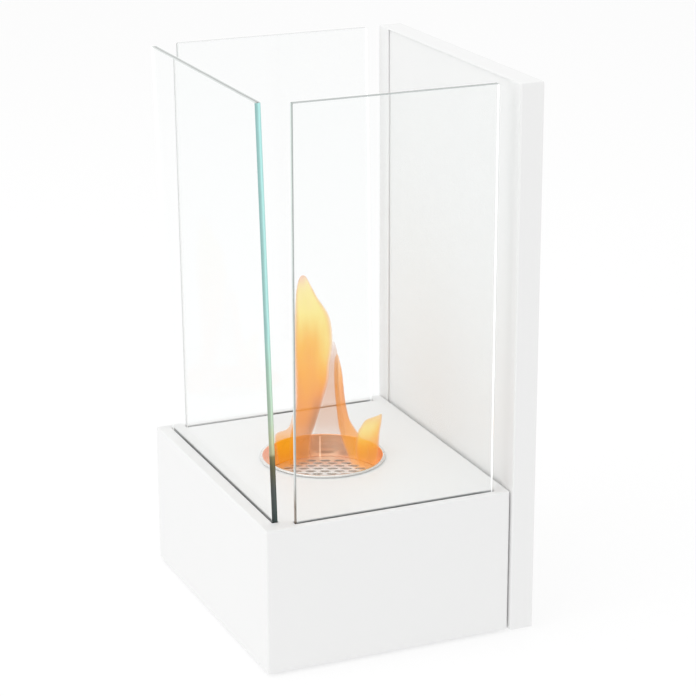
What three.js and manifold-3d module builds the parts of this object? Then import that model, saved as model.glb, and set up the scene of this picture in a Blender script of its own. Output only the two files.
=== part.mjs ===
// A table-top bioethanol fireplace: a folded steel base with a round burner cup, three loose
// glass panes standing in slots, and a tall hollow back panel bolted behind the base.
// Millimetres, +Z up, the front faces -Y, the origin is the bottom centre of the whole object.
import * as THREE from 'three';
import { mergeVertices } from 'three/addons/utils/BufferGeometryUtils.js';
import Module from 'manifold-3d';

const wasm = await Module();
wasm.setup();

// ---------------------------------------------------------------------------
// Driving dimensions
// ---------------------------------------------------------------------------

// Sheet metal shells
const BASE_WIDTH = 280;
const BASE_DEPTH = 227;
const BASE_HEIGHT = 130;
const PANEL_HEIGHT = 490;
const PANEL_DEPTH = 21.3;
const PANEL_OVERHANG = 3;
const JOINT_GAP = 1.1;
const SHEET = 1.2;
const EDGE_RADIUS = 3;
const CORNER_RADIUS = 2.5;
const BASE_FLANGE = 14;
const LIP_WIDTH = 21;
const LINER_OVERLAP = 12;
const LINER_GAP = 0.8;
const COVER_RECESS = 2.5;
const COVER_GAP = 0.6;
const RAIL_WIDTH = 22;
const RAIL_BOTTOM = 145;
const RAIL_TOP_GAP = 20;

// Underside
const FOOT_HEIGHT = 2;
const FOOT_RADIUS = 9;
const FOOT_INSET = 26;
const BOTTOM_PLATE = 1;
const BOTTOM_PLATE_INSET = 4;

// Glass and what holds it
const GLASS = 5;
const GLASS_CHAMFER = 0.4;
const GLASS_CORNER = 1.2;
const PANE_IN_SLOT = 20;
const PANE_PLAY = 0.7;
const PANE_END_PLAY = 1;
const FRONT_PANE_SHOWN_HEIGHT = 360;
const FRONT_PANE_SETBACK = 12.4;
const FRONT_PANE_LEFT_INSET = 10.5;
const FRONT_PANE_RIGHT_INSET = 18;
const FRONT_PANE_LEAN = 1.64;
const SIDE_PANE_SHOWN_HEIGHT = 358.8;
const SIDE_PANE_INSET = 8;
const SIDE_PANE_FRONT = 30;
const SIDE_PANE_BACK = 12.8;
const LEFT_PANE_LEAN = 1.64;
const CHANNEL_WALL_GAP = 0.9;
const STRIP_HEIGHT = 1.5;
const STRIP_PLAY = 0.3;

// Burner
const CUP_RADIUS = 52;
const CUP_WALL = 0.8;
const CUP_DEPTH = 72;
const CUP_CLEARANCE = 0.6;
const CUP_LEFT_OF_MIDDLE = 6;
const RIM_WIDTH = 3;
const RIM_HEIGHT = 2.5;
const MESH_DEPTH = 22;
const MESH_THICKNESS = 1;
const MESH_CELL_LENGTH = 13;
const MESH_CELL_WIDTH = 6.8;
const MESH_STRAND = 1.7;
const MESH_BORDER = 3;
const WOOL_CLEARANCE = 0.6;

// Fasteners
const FIT_GAP = 0.3;
const JOINING_SCREW = { shank: 2.5, head: 4.75, headHeight: 2.8, length: 14, socket: 1.5, socketDepth: 1.4 };
const COVER_SCREW = { shank: 1.75, head: 3.5, headHeight: 1.9, length: 8, socket: 1, socketDepth: 1 };
const BOTTOM_SCREW = { shank: 1.75, head: 3.9, headHeight: 1.3, length: 8, socket: 1, socketDepth: 0.8 };
const NUT = { body: 3.9, flange: 5.8, length: 9 };
const JOINING_INSET = 10;
const JOINING_LOWER_HEIGHT = 38;
const JOINING_UPPER_DROP = 25;
const COVER_SCREW_MARGIN = 25;
const COVER_SCREW_ROWS = 3;

// Facets
const ROUND_STEPS = 48;
const SCREW_STEPS = 16;
const BEND_STEPS = 3;

// ---------------------------------------------------------------------------
// Places worked out from the dimensions
// ---------------------------------------------------------------------------

const shellBottom = FOOT_HEIGHT + BOTTOM_PLATE;
const baseTop = shellBottom + BASE_HEIGHT;
const panelTop = shellBottom + PANEL_HEIGHT;
const totalDepth = BASE_DEPTH + JOINT_GAP + PANEL_DEPTH;
const frontFace = -totalDepth / 2;
const baseBack = frontFace + BASE_DEPTH;
const panelFront = baseBack + JOINT_GAP;
const panelBack = panelFront + PANEL_DEPTH;
const baseMiddle = (frontFace + baseBack) / 2;
const panelWidth = BASE_WIDTH + 2 * PANEL_OVERHANG;

const topUnderside = baseTop - SHEET;
const paneFoot = baseTop - PANE_IN_SLOT;
const stripBottom = paneFoot - STRIP_HEIGHT;
const slotWidth = GLASS + 2 * PANE_PLAY;

// How far a leaning pane moves outwards between its foot and the top plate
const leanRun = (lean) => PANE_IN_SLOT * Math.tan(lean);

const frontPaneHeight = PANE_IN_SLOT + FRONT_PANE_SHOWN_HEIGHT;
const frontPaneLength = BASE_WIDTH - FRONT_PANE_LEFT_INSET - FRONT_PANE_RIGHT_INSET;
const frontPaneX = (FRONT_PANE_LEFT_INSET - FRONT_PANE_RIGHT_INSET) / 2;
const frontLean = THREE.MathUtils.degToRad(FRONT_PANE_LEAN);
const frontPaneFootY = frontFace + FRONT_PANE_SETBACK + leanRun(frontLean) + GLASS / 2;
const frontSlotY = frontPaneFootY - leanRun(frontLean) / 2;

const sidePaneHeight = PANE_IN_SLOT + SIDE_PANE_SHOWN_HEIGHT;
const sidePaneLength = BASE_DEPTH - SIDE_PANE_FRONT - SIDE_PANE_BACK;
const sidePaneMiddle = frontFace + SIDE_PANE_FRONT + sidePaneLength / 2;
const sideSlotX = BASE_WIDTH / 2 - SIDE_PANE_INSET - GLASS / 2;
const sideLeans = { left: THREE.MathUtils.degToRad(LEFT_PANE_LEAN), right: 0 };
const channelFlange = SIDE_PANE_INSET - PANE_PLAY - 2 * SHEET - CHANNEL_WALL_GAP;

const linerFront = panelFront + SHEET;
const linerBack = linerFront + SHEET;
const coverBack = panelBack - COVER_RECESS;
const coverFront = coverBack - SHEET;
const lipEdge = panelWidth / 2 - LIP_WIDTH;
const linerHalf = lipEdge + LINER_OVERLAP;
const railX = linerHalf - RAIL_WIDTH / 2;
const railTop = panelTop - RAIL_TOP_GAP;
const joiningX = panelWidth / 2 - JOINING_INSET - PANEL_OVERHANG;

const rimTop = baseTop + RIM_HEIGHT;
const cupX = -CUP_LEFT_OF_MIDDLE;
const cupBottom = baseTop - CUP_DEPTH;
const meshTop = rimTop - MESH_DEPTH;
const meshRadius = CUP_RADIUS - WOOL_CLEARANCE;

// ---------------------------------------------------------------------------
// Materials
// ---------------------------------------------------------------------------

const finish = (color, roughness, metalness, extra = {}) =>
  () => new THREE.MeshStandardMaterial({ color, roughness, metalness, ...extra });

const whitePaint = finish(0xf0f0ee, 0.5, 0.0);
const zincSteel = finish(0xa9acaf, 0.45, 0.9);
const stainless = finish(0xc9c6c0, 0.25, 1.0);
const ceramicWool = finish(0xf2efe8, 0.95, 0.0);
const rubber = finish(0x262626, 0.85, 0.0);
const silicone = finish(0x4b5152, 0.6, 0.0);
const clearGlass = finish(0xdff2ec, 0.03, 0.0, { transparent: true, opacity: 0.3 });

// ---------------------------------------------------------------------------
// Solid helpers
// ---------------------------------------------------------------------------

function toSolid(geometry) {
  const bare = geometry.index ? geometry.toNonIndexed() : geometry.clone();
  bare.deleteAttribute('normal');
  bare.deleteAttribute('uv');
  const merged = mergeVertices(bare, 1e-4);
  return new wasm.Manifold(new wasm.Mesh({
    numProp: 3,
    vertProperties: Float32Array.from(merged.attributes.position.array),
    triVerts: Uint32Array.from(merged.index.array),
  }));
}

function toGeometry(solid) {
  const mesh = solid.getMesh();
  const geometry = new THREE.BufferGeometry();
  geometry.setAttribute('position', new THREE.BufferAttribute(mesh.vertProperties, 3));
  geometry.setIndex(new THREE.BufferAttribute(mesh.triVerts, 1));
  geometry.computeVertexNormals();
  return geometry;
}

function carve(body, ...cutters) {
  return toGeometry(cutters.reduce((left, cutter) => left.subtract(toSolid(cutter)), toSolid(body)));
}

function box(x0, x1, y0, y1, z0, z1) {
  const geometry = new THREE.BoxGeometry(x1 - x0, y1 - y0, z1 - z0);
  return geometry.translate((x0 + x1) / 2, (y0 + y1) / 2, (z0 + z1) / 2);
}

function roundedRectangle(width, height, radius) {
  const x = width / 2;
  const y = height / 2;
  const shape = new THREE.Shape();
  shape.moveTo(-x + radius, -y);
  shape.lineTo(x - radius, -y);
  shape.absarc(x - radius, -y + radius, radius, -Math.PI / 2, 0, false);
  shape.lineTo(x, y - radius);
  shape.absarc(x - radius, y - radius, radius, 0, Math.PI / 2, false);
  shape.lineTo(-x + radius, y);
  shape.absarc(-x + radius, y - radius, radius, Math.PI / 2, Math.PI, false);
  shape.lineTo(-x, -y + radius);
  shape.absarc(-x + radius, -y + radius, radius, Math.PI, Math.PI * 1.5, false);
  return shape;
}

// An upright block with rounded vertical corners and rounded upper edges, cut square at its foot.
function foldedBlock({ width, depth, bottom, top, middleY, corner, edge }) {
  const height = top - bottom;
  const outline = roundedRectangle(width - 2 * edge, depth - 2 * edge, Math.max(corner - edge, 0.2));
  const block = new THREE.ExtrudeGeometry(outline, {
    depth: height,
    bevelEnabled: true,
    bevelSize: edge,
    bevelThickness: edge,
    bevelSegments: BEND_STEPS,
    curveSegments: BEND_STEPS,
  });
  block.translate(0, middleY, bottom - edge);
  const below = box(-width, width, middleY - depth, middleY + depth, bottom - 3 * edge, bottom);
  return carve(block, below);
}

function cylinder(radius, z0, z1, steps = ROUND_STEPS) {
  const geometry = new THREE.CylinderGeometry(radius, radius, z1 - z0, steps);
  return geometry.rotateX(Math.PI / 2).translate(0, 0, (z0 + z1) / 2);
}

// Turned pieces: the profile is a list of [radius, height] pairs about +Z.
function turned(profile, steps) {
  const points = profile.map(([radius, height]) => new THREE.Vector2(radius, height));
  return new THREE.LatheGeometry(points, steps).rotateX(Math.PI / 2);
}

function capScrew({ shank, head, headHeight, length, socket, socketDepth }) {
  return turned([
    [0, -length],
    [shank, -length],
    [shank, 0],
    [head, 0],
    [head, headHeight * 0.6],
    [head * 0.8, headHeight],
    [socket, headHeight],
    [socket, headHeight - socketDepth],
    [0, headHeight - socketDepth],
  ], SCREW_STEPS);
}

const group = new THREE.Group();

function place(name, geometry, material, parent = group) {
  const mesh = new THREE.Mesh(geometry, material());
  mesh.name = name;
  parent.add(mesh);
  return mesh;
}

const sides = [['left', -1], ['right', 1]];

// ---------------------------------------------------------------------------
// Base
// ---------------------------------------------------------------------------

function slotCutter(paneLength) {
  const half = paneLength / 2 + PANE_END_PLAY;
  return box(-half, half, -slotWidth / 2, slotWidth / 2, topUnderside - SHEET, baseTop + SHEET);
}

function buildBase() {
  const outer = foldedBlock({
    width: BASE_WIDTH,
    depth: BASE_DEPTH,
    bottom: shellBottom,
    top: baseTop,
    middleY: baseMiddle,
    corner: CORNER_RADIUS,
    edge: Math.min(EDGE_RADIUS, CORNER_RADIUS),
  });
  const halfX = BASE_WIDTH / 2 - SHEET;
  const halfY = BASE_DEPTH / 2 - SHEET;
  const hollow = box(
    -halfX, halfX, baseMiddle - halfY, baseMiddle + halfY, shellBottom + SHEET, topUnderside,
  );
  const mouthX = halfX - BASE_FLANGE;
  const mouthY = halfY - BASE_FLANGE;
  const mouth = box(
    -mouthX, mouthX, baseMiddle - mouthY, baseMiddle + mouthY, shellBottom - SHEET, shellBottom + 2 * SHEET,
  );
  const burnerHole = cylinder(
    CUP_RADIUS + CUP_WALL + CUP_CLEARANCE, topUnderside - SHEET, baseTop + SHEET,
  ).translate(cupX, baseMiddle, 0);
  const frontSlot = slotCutter(frontPaneLength).translate(frontPaneX, frontSlotY, 0);
  const sideSlots = sides.map(([, side]) =>
    slotCutter(sidePaneLength).rotateZ(Math.PI / 2).translate(side * sideSlotX, sidePaneMiddle, 0));
  const screwHoles = joiningPlaces().map(([, x, z]) =>
    cylinder(JOINING_SCREW.shank + FIT_GAP, -2 * SHEET, 2 * SHEET, SCREW_STEPS)
      .rotateX(Math.PI / 2)
      .translate(x, baseBack, z));
  const plateHoles = bottomScrewPlaces().map(([, x, y]) =>
    cylinder(BOTTOM_SCREW.shank + FIT_GAP, shellBottom - SHEET, shellBottom + 2 * SHEET, SCREW_STEPS)
      .translate(x, y, 0));
  place('base_casing', carve(
    outer, hollow, mouth, burnerHole, frontSlot, ...sideSlots, ...screwHoles, ...plateHoles,
  ), whitePaint);
}

function cornerPlaces(inset) {
  const x = BASE_WIDTH / 2 - inset;
  const y = BASE_DEPTH / 2 - inset;
  return [
    ['front_left', -x, baseMiddle - y],
    ['front_right', x, baseMiddle - y],
    ['back_left', -x, baseMiddle + y],
    ['back_right', x, baseMiddle + y],
  ];
}

function bottomScrewPlaces() {
  return cornerPlaces(SHEET + BASE_FLANGE / 2);
}

function buildUnderside() {
  const x = BASE_WIDTH / 2 - BOTTOM_PLATE_INSET;
  const y = BASE_DEPTH / 2 - BOTTOM_PLATE_INSET;
  const plate = box(-x, x, baseMiddle - y, baseMiddle + y, FOOT_HEIGHT, shellBottom);
  const holes = bottomScrewPlaces().map(([, holeX, holeY]) =>
    cylinder(BOTTOM_SCREW.shank + FIT_GAP, 0, shellBottom + SHEET, SCREW_STEPS).translate(holeX, holeY, 0));
  place('base_bottom_plate', carve(plate, ...holes), zincSteel);
  for (const [corner, screwX, screwY] of bottomScrewPlaces()) {
    const screw = place(`bottom_screw_${corner}`, capScrew(BOTTOM_SCREW), zincSteel);
    screw.rotation.x = Math.PI;
    screw.position.set(screwX, screwY, FOOT_HEIGHT);
  }
  for (const [corner, footX, footY] of cornerPlaces(FOOT_INSET)) {
    const foot = place(`foot_${corner}`, cylinder(FOOT_RADIUS, 0, FOOT_HEIGHT, 24), rubber);
    foot.position.set(footX, footY, 0);
  }
}

// ---------------------------------------------------------------------------
// Glass panes, the channels under the slots and the strips the panes stand on
// ---------------------------------------------------------------------------

function paneGeometry(length, height) {
  const outline = roundedRectangle(
    length - 2 * GLASS_CHAMFER, height - 2 * GLASS_CHAMFER, GLASS_CORNER,
  );
  const pane = new THREE.ExtrudeGeometry(outline, {
    depth: GLASS - 2 * GLASS_CHAMFER,
    bevelEnabled: true,
    bevelSize: GLASS_CHAMFER,
    bevelThickness: GLASS_CHAMFER,
    bevelSegments: 1,
    curveSegments: BEND_STEPS,
  });
  return pane
    .translate(0, 0, GLASS_CHAMFER - GLASS / 2)
    .rotateX(Math.PI / 2)
    .translate(0, 0, height / 2);
}

function channelGeometry(length) {
  const inner = slotWidth / 2;
  const outer = inner + SHEET;
  const brim = outer + channelFlange;
  const shape = new THREE.Shape([
    [-brim, topUnderside],
    [-brim, topUnderside - SHEET],
    [-outer, topUnderside - SHEET],
    [-outer, stripBottom - SHEET],
    [outer, stripBottom - SHEET],
    [outer, topUnderside - SHEET],
    [brim, topUnderside - SHEET],
    [brim, topUnderside],
    [inner, topUnderside],
    [inner, stripBottom],
    [-inner, stripBottom],
    [-inner, topUnderside],
  ].map(([across, up]) => new THREE.Vector2(across, up)));
  const channel = new THREE.ExtrudeGeometry(shape, { depth: length, bevelEnabled: false });
  return channel.translate(0, 0, -length / 2).rotateX(Math.PI / 2).rotateZ(Math.PI / 2);
}

function buildHolder(name, length, x, y, turn) {
  const channelLength = length + 2 * PANE_END_PLAY;
  const channel = place(`${name}_channel`, channelGeometry(channelLength), zincSteel);
  channel.rotation.z = turn;
  channel.position.set(x, y, 0);
  const half = slotWidth / 2 - STRIP_PLAY;
  const strip = place(
    `${name}_seat_strip`, box(-length / 2, length / 2, -half, half, stripBottom, paneFoot), silicone,
  );
  strip.rotation.z = turn;
  strip.position.set(x, y, 0);
}

function buildGlass() {
  buildHolder('front', frontPaneLength, frontPaneX, frontSlotY, 0);
  const frontPane = place('front_pane', paneGeometry(frontPaneLength, frontPaneHeight), clearGlass);
  frontPane.rotation.x = frontLean;
  frontPane.position.set(frontPaneX, frontPaneFootY, paneFoot + FIT_GAP);
  for (const [name, side] of sides) {
    const lean = sideLeans[name];
    const footX = sideSlotX - leanRun(lean) / 2;
    buildHolder(name, sidePaneLength, side * sideSlotX, sidePaneMiddle, Math.PI / 2);
    const pane = place(`${name}_pane`, paneGeometry(sidePaneLength, sidePaneHeight), clearGlass);
    pane.rotation.set(0, side * lean, Math.PI / 2);
    pane.position.set(side * footX, sidePaneMiddle, paneFoot + FIT_GAP);
  }
}

// ---------------------------------------------------------------------------
// Burner
// ---------------------------------------------------------------------------

function buildBurner() {
  const burner = new THREE.Group();
  burner.position.set(cupX, baseMiddle, 0);
  group.add(burner);
  const wallOuter = CUP_RADIUS + CUP_WALL;
  const rimOuter = CUP_RADIUS + RIM_WIDTH;
  const bead = RIM_HEIGHT / 2;
  const cup = turned([
    [0, cupBottom],
    [wallOuter, cupBottom],
    [wallOuter, baseTop],
    [rimOuter - bead * 0.3, baseTop],
    [rimOuter, baseTop + bead * 0.6],
    [rimOuter, baseTop + bead * 1.3],
    [rimOuter - bead * 0.6, rimTop],
    [CUP_RADIUS + bead * 0.4, rimTop],
    [CUP_RADIUS, rimTop - bead * 0.5],
    [CUP_RADIUS, cupBottom + CUP_WALL],
    [0, cupBottom + CUP_WALL],
  ], ROUND_STEPS);
  place('burner_cup', cup, stainless, burner);
  place('burner_mesh', meshDisc(), stainless, burner);
  const wool = cylinder(
    meshRadius, cupBottom + CUP_WALL, meshTop - MESH_THICKNESS, ROUND_STEPS,
  );
  place('burner_wool', wool, ceramicWool, burner);
}

// Expanded metal: rows of six-sided openings, every second row shifted by half a cell.
function meshDisc() {
  const halfLength = (MESH_CELL_LENGTH - MESH_STRAND) / 2;
  const halfWidth = MESH_CELL_WIDTH - MESH_STRAND;
  const usable = meshRadius - MESH_BORDER;
  const cellReach = Math.hypot(halfLength, halfWidth / 2);
  const outline = new THREE.Shape();
  outline.absarc(0, 0, meshRadius, 0, 2 * Math.PI, false);
  const rows = Math.ceil(usable / MESH_CELL_WIDTH);
  for (let row = -rows; row <= rows; row += 1) {
    const shift = (Math.abs(row) % 2) * MESH_CELL_LENGTH / 2;
    const columns = Math.ceil(usable / MESH_CELL_LENGTH) + 1;
    for (let column = -columns; column <= columns; column += 1) {
      const x = column * MESH_CELL_LENGTH + shift;
      const y = row * MESH_CELL_WIDTH;
      if (Math.hypot(x, y) + cellReach > usable) continue;
      outline.holes.push(new THREE.Path([
        [x - halfLength, y],
        [x - halfLength / 3, y + halfWidth / 2],
        [x + halfLength / 3, y + halfWidth / 2],
        [x + halfLength, y],
        [x + halfLength / 3, y - halfWidth / 2],
        [x - halfLength / 3, y - halfWidth / 2],
      ].map(([across, up]) => new THREE.Vector2(across, up))));
    }
  }
  const disc = new THREE.ExtrudeGeometry(outline, {
    depth: MESH_THICKNESS, bevelEnabled: false, curveSegments: ROUND_STEPS,
  });
  return disc.translate(0, 0, meshTop - MESH_THICKNESS);
}

// ---------------------------------------------------------------------------
// Back panel
// ---------------------------------------------------------------------------

// Screw places shared by the base's rear wall, the panel's lips and the nuts.
function joiningPlaces() {
  const levels = [
    ['lower', shellBottom + JOINING_LOWER_HEIGHT],
    ['upper', baseTop - JOINING_UPPER_DROP],
  ];
  return levels.flatMap(([level, height]) =>
    sides.map(([name, side]) => [`${level}_${name}`, side * joiningX, height]));
}

function coverScrewPlaces() {
  const first = RAIL_BOTTOM + COVER_SCREW_MARGIN;
  const pitch = (railTop - COVER_SCREW_MARGIN - first) / (COVER_SCREW_ROWS - 1);
  return Array.from({ length: COVER_SCREW_ROWS }, (_, row) =>
    sides.map(([name, side]) => [`${name}_${row + 1}`, side * railX, first + row * pitch])).flat();
}

function acrossPanel(radius, x, z, y0, y1) {
  return cylinder(radius, y0, y1, SCREW_STEPS).rotateX(-Math.PI / 2).translate(x, 0, z);
}

function buildPanel() {
  const outer = foldedBlock({
    width: panelWidth,
    depth: PANEL_DEPTH,
    bottom: shellBottom,
    top: panelTop,
    middleY: (panelFront + panelBack) / 2,
    corner: CORNER_RADIUS,
    edge: Math.min(EDGE_RADIUS, CORNER_RADIUS) / 2,
  });
  const inside = panelWidth / 2 - SHEET;
  const hollow = box(
    -inside, inside, linerFront, panelBack + SHEET, shellBottom + SHEET, panelTop - SHEET,
  );
  const window = box(
    -lipEdge, lipEdge, panelFront - SHEET, linerFront + SHEET, shellBottom + SHEET, panelTop - SHEET,
  );
  const nutHoles = joiningPlaces().map(([, x, z]) =>
    acrossPanel(NUT.body + FIT_GAP, x, z, panelFront - SHEET, linerBack + SHEET));
  place('panel_casing', carve(outer, hollow, window, ...nutHoles), whitePaint);

  const liner = box(
    -linerHalf, linerHalf, linerFront, linerBack, shellBottom + SHEET, panelTop - SHEET - LINER_GAP,
  );
  place('panel_liner', carve(liner, ...nutHoles), whitePaint);

  const coverHalf = inside - COVER_GAP;
  const cover = box(
    -coverHalf, coverHalf, coverFront, coverBack,
    shellBottom + SHEET, panelTop - SHEET - COVER_GAP,
  );
  const coverHoles = coverScrewPlaces().map(([, x, z]) =>
    acrossPanel(COVER_SCREW.shank + FIT_GAP, x, z, coverFront - 2 * SHEET, coverBack + SHEET));
  place('panel_back_cover', carve(cover, ...coverHoles), whitePaint);

  for (const [name, side] of sides) {
    const x0 = side * railX - RAIL_WIDTH / 2;
    const x1 = side * railX + RAIL_WIDTH / 2;
    const bar = box(x0, x1, linerBack, coverFront, RAIL_BOTTOM, railTop);
    const gutter = box(
      x0 + SHEET, x1 - SHEET, linerBack - SHEET, coverFront - SHEET, RAIL_BOTTOM - SHEET, railTop + SHEET,
    );
    place(`panel_rail_${name}`, carve(bar, gutter, ...coverHoles), zincSteel);
  }
}

function buildFasteners() {
  for (const [name, x, z] of coverScrewPlaces()) {
    const screw = place(`cover_screw_${name}`, capScrew(COVER_SCREW), zincSteel);
    screw.rotation.x = -Math.PI / 2;
    screw.position.set(x, coverBack, z);
  }
  const nut = () => turned([
    [JOINING_SCREW.shank + FIT_GAP, 0],
    [NUT.flange, 0],
    [NUT.flange, JOINT_GAP],
    [NUT.body, JOINT_GAP],
    [NUT.body, NUT.length],
    [JOINING_SCREW.shank + FIT_GAP, NUT.length],
    [JOINING_SCREW.shank + FIT_GAP, 0],
  ], SCREW_STEPS);
  for (const [name, x, z] of joiningPlaces()) {
    const insert = place(`joining_nut_${name}`, nut(), zincSteel);
    insert.rotation.x = -Math.PI / 2;
    insert.position.set(x, baseBack, z);
    const screw = place(`joining_screw_${name}`, capScrew(JOINING_SCREW), zincSteel);
    screw.rotation.x = Math.PI / 2;
    screw.position.set(x, baseBack - SHEET, z);
  }
}

buildBase();
buildUnderside();
buildGlass();
buildBurner();
buildPanel();
buildFasteners();

export default group;
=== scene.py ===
"""Dresses a table-top bioethanol fireplace: painted sheet steel, loose glass panes, burner and flame.

Everything is in metres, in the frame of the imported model: +Z up, the front faces -Y, and the origin
is the bottom centre of the whole object.
"""

from __future__ import annotations

import logging
import math
from contextlib import contextmanager
from dataclasses import dataclass
from enum import Enum
from typing import Callable, Iterator, Sequence

import bpy
from mathutils import Euler, Matrix, Vector

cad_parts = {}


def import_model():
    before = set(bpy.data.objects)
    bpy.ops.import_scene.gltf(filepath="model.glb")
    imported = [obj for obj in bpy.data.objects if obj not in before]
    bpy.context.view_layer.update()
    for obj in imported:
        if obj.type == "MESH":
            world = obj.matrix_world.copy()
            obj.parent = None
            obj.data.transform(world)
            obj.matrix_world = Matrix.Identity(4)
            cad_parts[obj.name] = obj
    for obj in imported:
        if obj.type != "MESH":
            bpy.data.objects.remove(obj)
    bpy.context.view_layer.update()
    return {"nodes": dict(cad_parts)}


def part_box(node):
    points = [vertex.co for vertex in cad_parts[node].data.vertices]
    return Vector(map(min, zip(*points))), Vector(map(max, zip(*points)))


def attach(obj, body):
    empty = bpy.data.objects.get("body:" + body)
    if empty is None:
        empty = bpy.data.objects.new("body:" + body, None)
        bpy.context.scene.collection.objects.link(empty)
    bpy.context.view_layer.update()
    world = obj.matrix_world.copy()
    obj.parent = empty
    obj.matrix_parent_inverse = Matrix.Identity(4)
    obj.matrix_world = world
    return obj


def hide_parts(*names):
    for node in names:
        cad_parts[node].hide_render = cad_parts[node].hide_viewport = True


LOG = logging.getLogger("fireplace")
MM = 0.001
VIEWED_FROM = math.radians(66.64)
Colour = tuple[float, float, float]
Piece = bpy.types.Object
Test = Callable[[Vector], bool]


class Body(Enum):
    """The bodies that pieces ride on."""

    HOUSING = "housing"
    FRONT_GLASS = "front_glass"
    LEFT_GLASS = "left_glass"
    RIGHT_GLASS = "right_glass"
    BURNER = "burner"


class Slot(Enum):
    """The record's material slots."""

    WHITE_PAINT = "white_paint"
    ZINC_STEEL = "zinc_steel"
    STAINLESS_STEEL = "stainless_steel"
    CLEAR_GLASS = "clear_glass"
    CERAMIC_WOOL = "ceramic_wool"
    RUBBER = "rubber"
    SILICONE = "silicone"


class Element(Enum):
    """What is picked in edit mode."""

    EDGES = "EDGE"
    FACES = "FACE"


# ---------------------------------------------------------------------------
# Bench: the modelling steps
# ---------------------------------------------------------------------------


def deselect_everything() -> None:
    """Leaves object mode with nothing selected."""
    if bpy.context.object and bpy.context.object.mode != "OBJECT":
        bpy.ops.object.mode_set(mode="OBJECT")
    bpy.ops.object.select_all(action="DESELECT")


def make_active(piece: Piece) -> None:
    """Selects one piece and makes it the active one.

    Args:
        piece: the object to work on.
    """
    deselect_everything()
    piece.select_set(True)
    bpy.context.view_layer.objects.active = piece


def settle(piece: Piece) -> Piece:
    """Puts a piece's place, turn and scale into its mesh.

    Args:
        piece: the object to settle.

    Returns:
        The same object, at the origin, unturned and unscaled.
    """
    make_active(piece)
    bpy.ops.object.transform_apply(location=True, rotation=True, scale=True)
    return piece


def add_box(name: str, low: Sequence[float], high: Sequence[float]) -> Piece:
    """Adds a box between two corners.

    Args:
        name: the new object's name.
        low: the lowest corner.
        high: the highest corner.

    Returns:
        The box.
    """
    deselect_everything()
    middle = [(a + b) / 2 for a, b in zip(low, high)]
    bpy.ops.mesh.primitive_cube_add(size=1, location=middle)
    box = bpy.context.object
    box.name = name
    box.scale = [b - a for a, b in zip(low, high)]
    return settle(box)


def add_cylinder(name: str, radius: float, low: float, high: float, sides: int) -> Piece:
    """Adds an upright cylinder on the Z axis.

    Args:
        name: the new object's name.
        radius: its radius.
        low: the height of its foot.
        high: the height of its top.
        sides: how many sides it has.

    Returns:
        The cylinder.
    """
    deselect_everything()
    bpy.ops.mesh.primitive_cylinder_add(
        vertices=sides, radius=radius, depth=high - low, location=(0, 0, (low + high) / 2)
    )
    cylinder = bpy.context.object
    cylinder.name = name
    return settle(cylinder)


def pick(piece: Piece, element: Element, test: Test) -> None:
    """Selects a piece's edges or faces by their middle point, with the piece in object mode.

    Args:
        piece: the object whose mesh is picked from.
        element: edges or faces.
        test: says of a middle point whether its element is wanted.
    """
    mesh = piece.data
    for group in (mesh.vertices, mesh.edges, mesh.polygons):
        group.foreach_set("select", [False] * len(group))
    if element is Element.FACES:
        for face in mesh.polygons:
            face.select = test(face.center)
    else:
        for edge in mesh.edges:
            ends = [mesh.vertices[index].co for index in edge.vertices]
            edge.select = test((ends[0] + ends[1]) / 2)


@contextmanager
def editing(piece: Piece, element: Element, test: Test) -> Iterator[None]:
    """Opens a piece in edit mode with the wanted elements selected, and closes it again.

    Args:
        piece: the object to edit.
        element: edges or faces.
        test: says of a middle point whether its element is wanted.
    """
    make_active(piece)
    pick(piece, element, test)
    bpy.context.tool_settings.mesh_select_mode = (
        False, element is Element.EDGES, element is Element.FACES
    )
    bpy.ops.object.mode_set(mode="EDIT")
    try:
        yield
    finally:
        bpy.ops.object.mode_set(mode="OBJECT")


def bevel(piece: Piece, width: float, segments: int, test: Test) -> None:
    """Rounds the wanted edges.

    Args:
        piece: the object to edit.
        width: the radius of the round.
        segments: how many facets it has.
        test: says of an edge's middle point whether it is rounded.
    """
    with editing(piece, Element.EDGES, test):
        bpy.ops.mesh.bevel(offset=width, segments=segments, affect="EDGES", clamp_overlap=True)


def modify(piece: Piece, kind: str, **settings: object) -> None:
    """Adds a modifier and applies it at once.

    Args:
        piece: the object to change.
        kind: the modifier's type.
        **settings: the modifier's own settings.
    """
    make_active(piece)
    modifier = piece.modifiers.new(kind.title(), kind)
    for setting, value in settings.items():
        setattr(modifier, setting, value)
    bpy.ops.object.modifier_apply(modifier=modifier.name)


def join(pieces: Sequence[Piece], name: str) -> Piece:
    """Joins several pieces into one object.

    Args:
        pieces: the objects to join.
        name: the joined object's name.

    Returns:
        The joined object.
    """
    make_active(pieces[0])
    for piece in pieces:
        piece.select_set(True)
    bpy.ops.object.join()
    pieces[0].name = name
    return pieces[0]


def cut(piece: Piece, cutters: Sequence[Piece]) -> None:
    """Cuts away the space that the cutters fill, and clears them.

    Args:
        piece: the object that is cut.
        cutters: solids that don't overlap each other.
    """
    tool = join(cutters, f"{piece.name}_cutter")
    modify(piece, "BOOLEAN", operation="DIFFERENCE", solver="EXACT", object=tool)
    bpy.data.objects.remove(tool)


def tidy_normals(piece: Piece) -> None:
    """Merges doubled points and turns every face outwards.

    Args:
        piece: the object to tidy.
    """
    with editing(piece, Element.FACES, lambda _: True):
        bpy.ops.mesh.remove_doubles(threshold=1e-7)
        bpy.ops.mesh.normals_make_consistent(inside=False)


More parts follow.
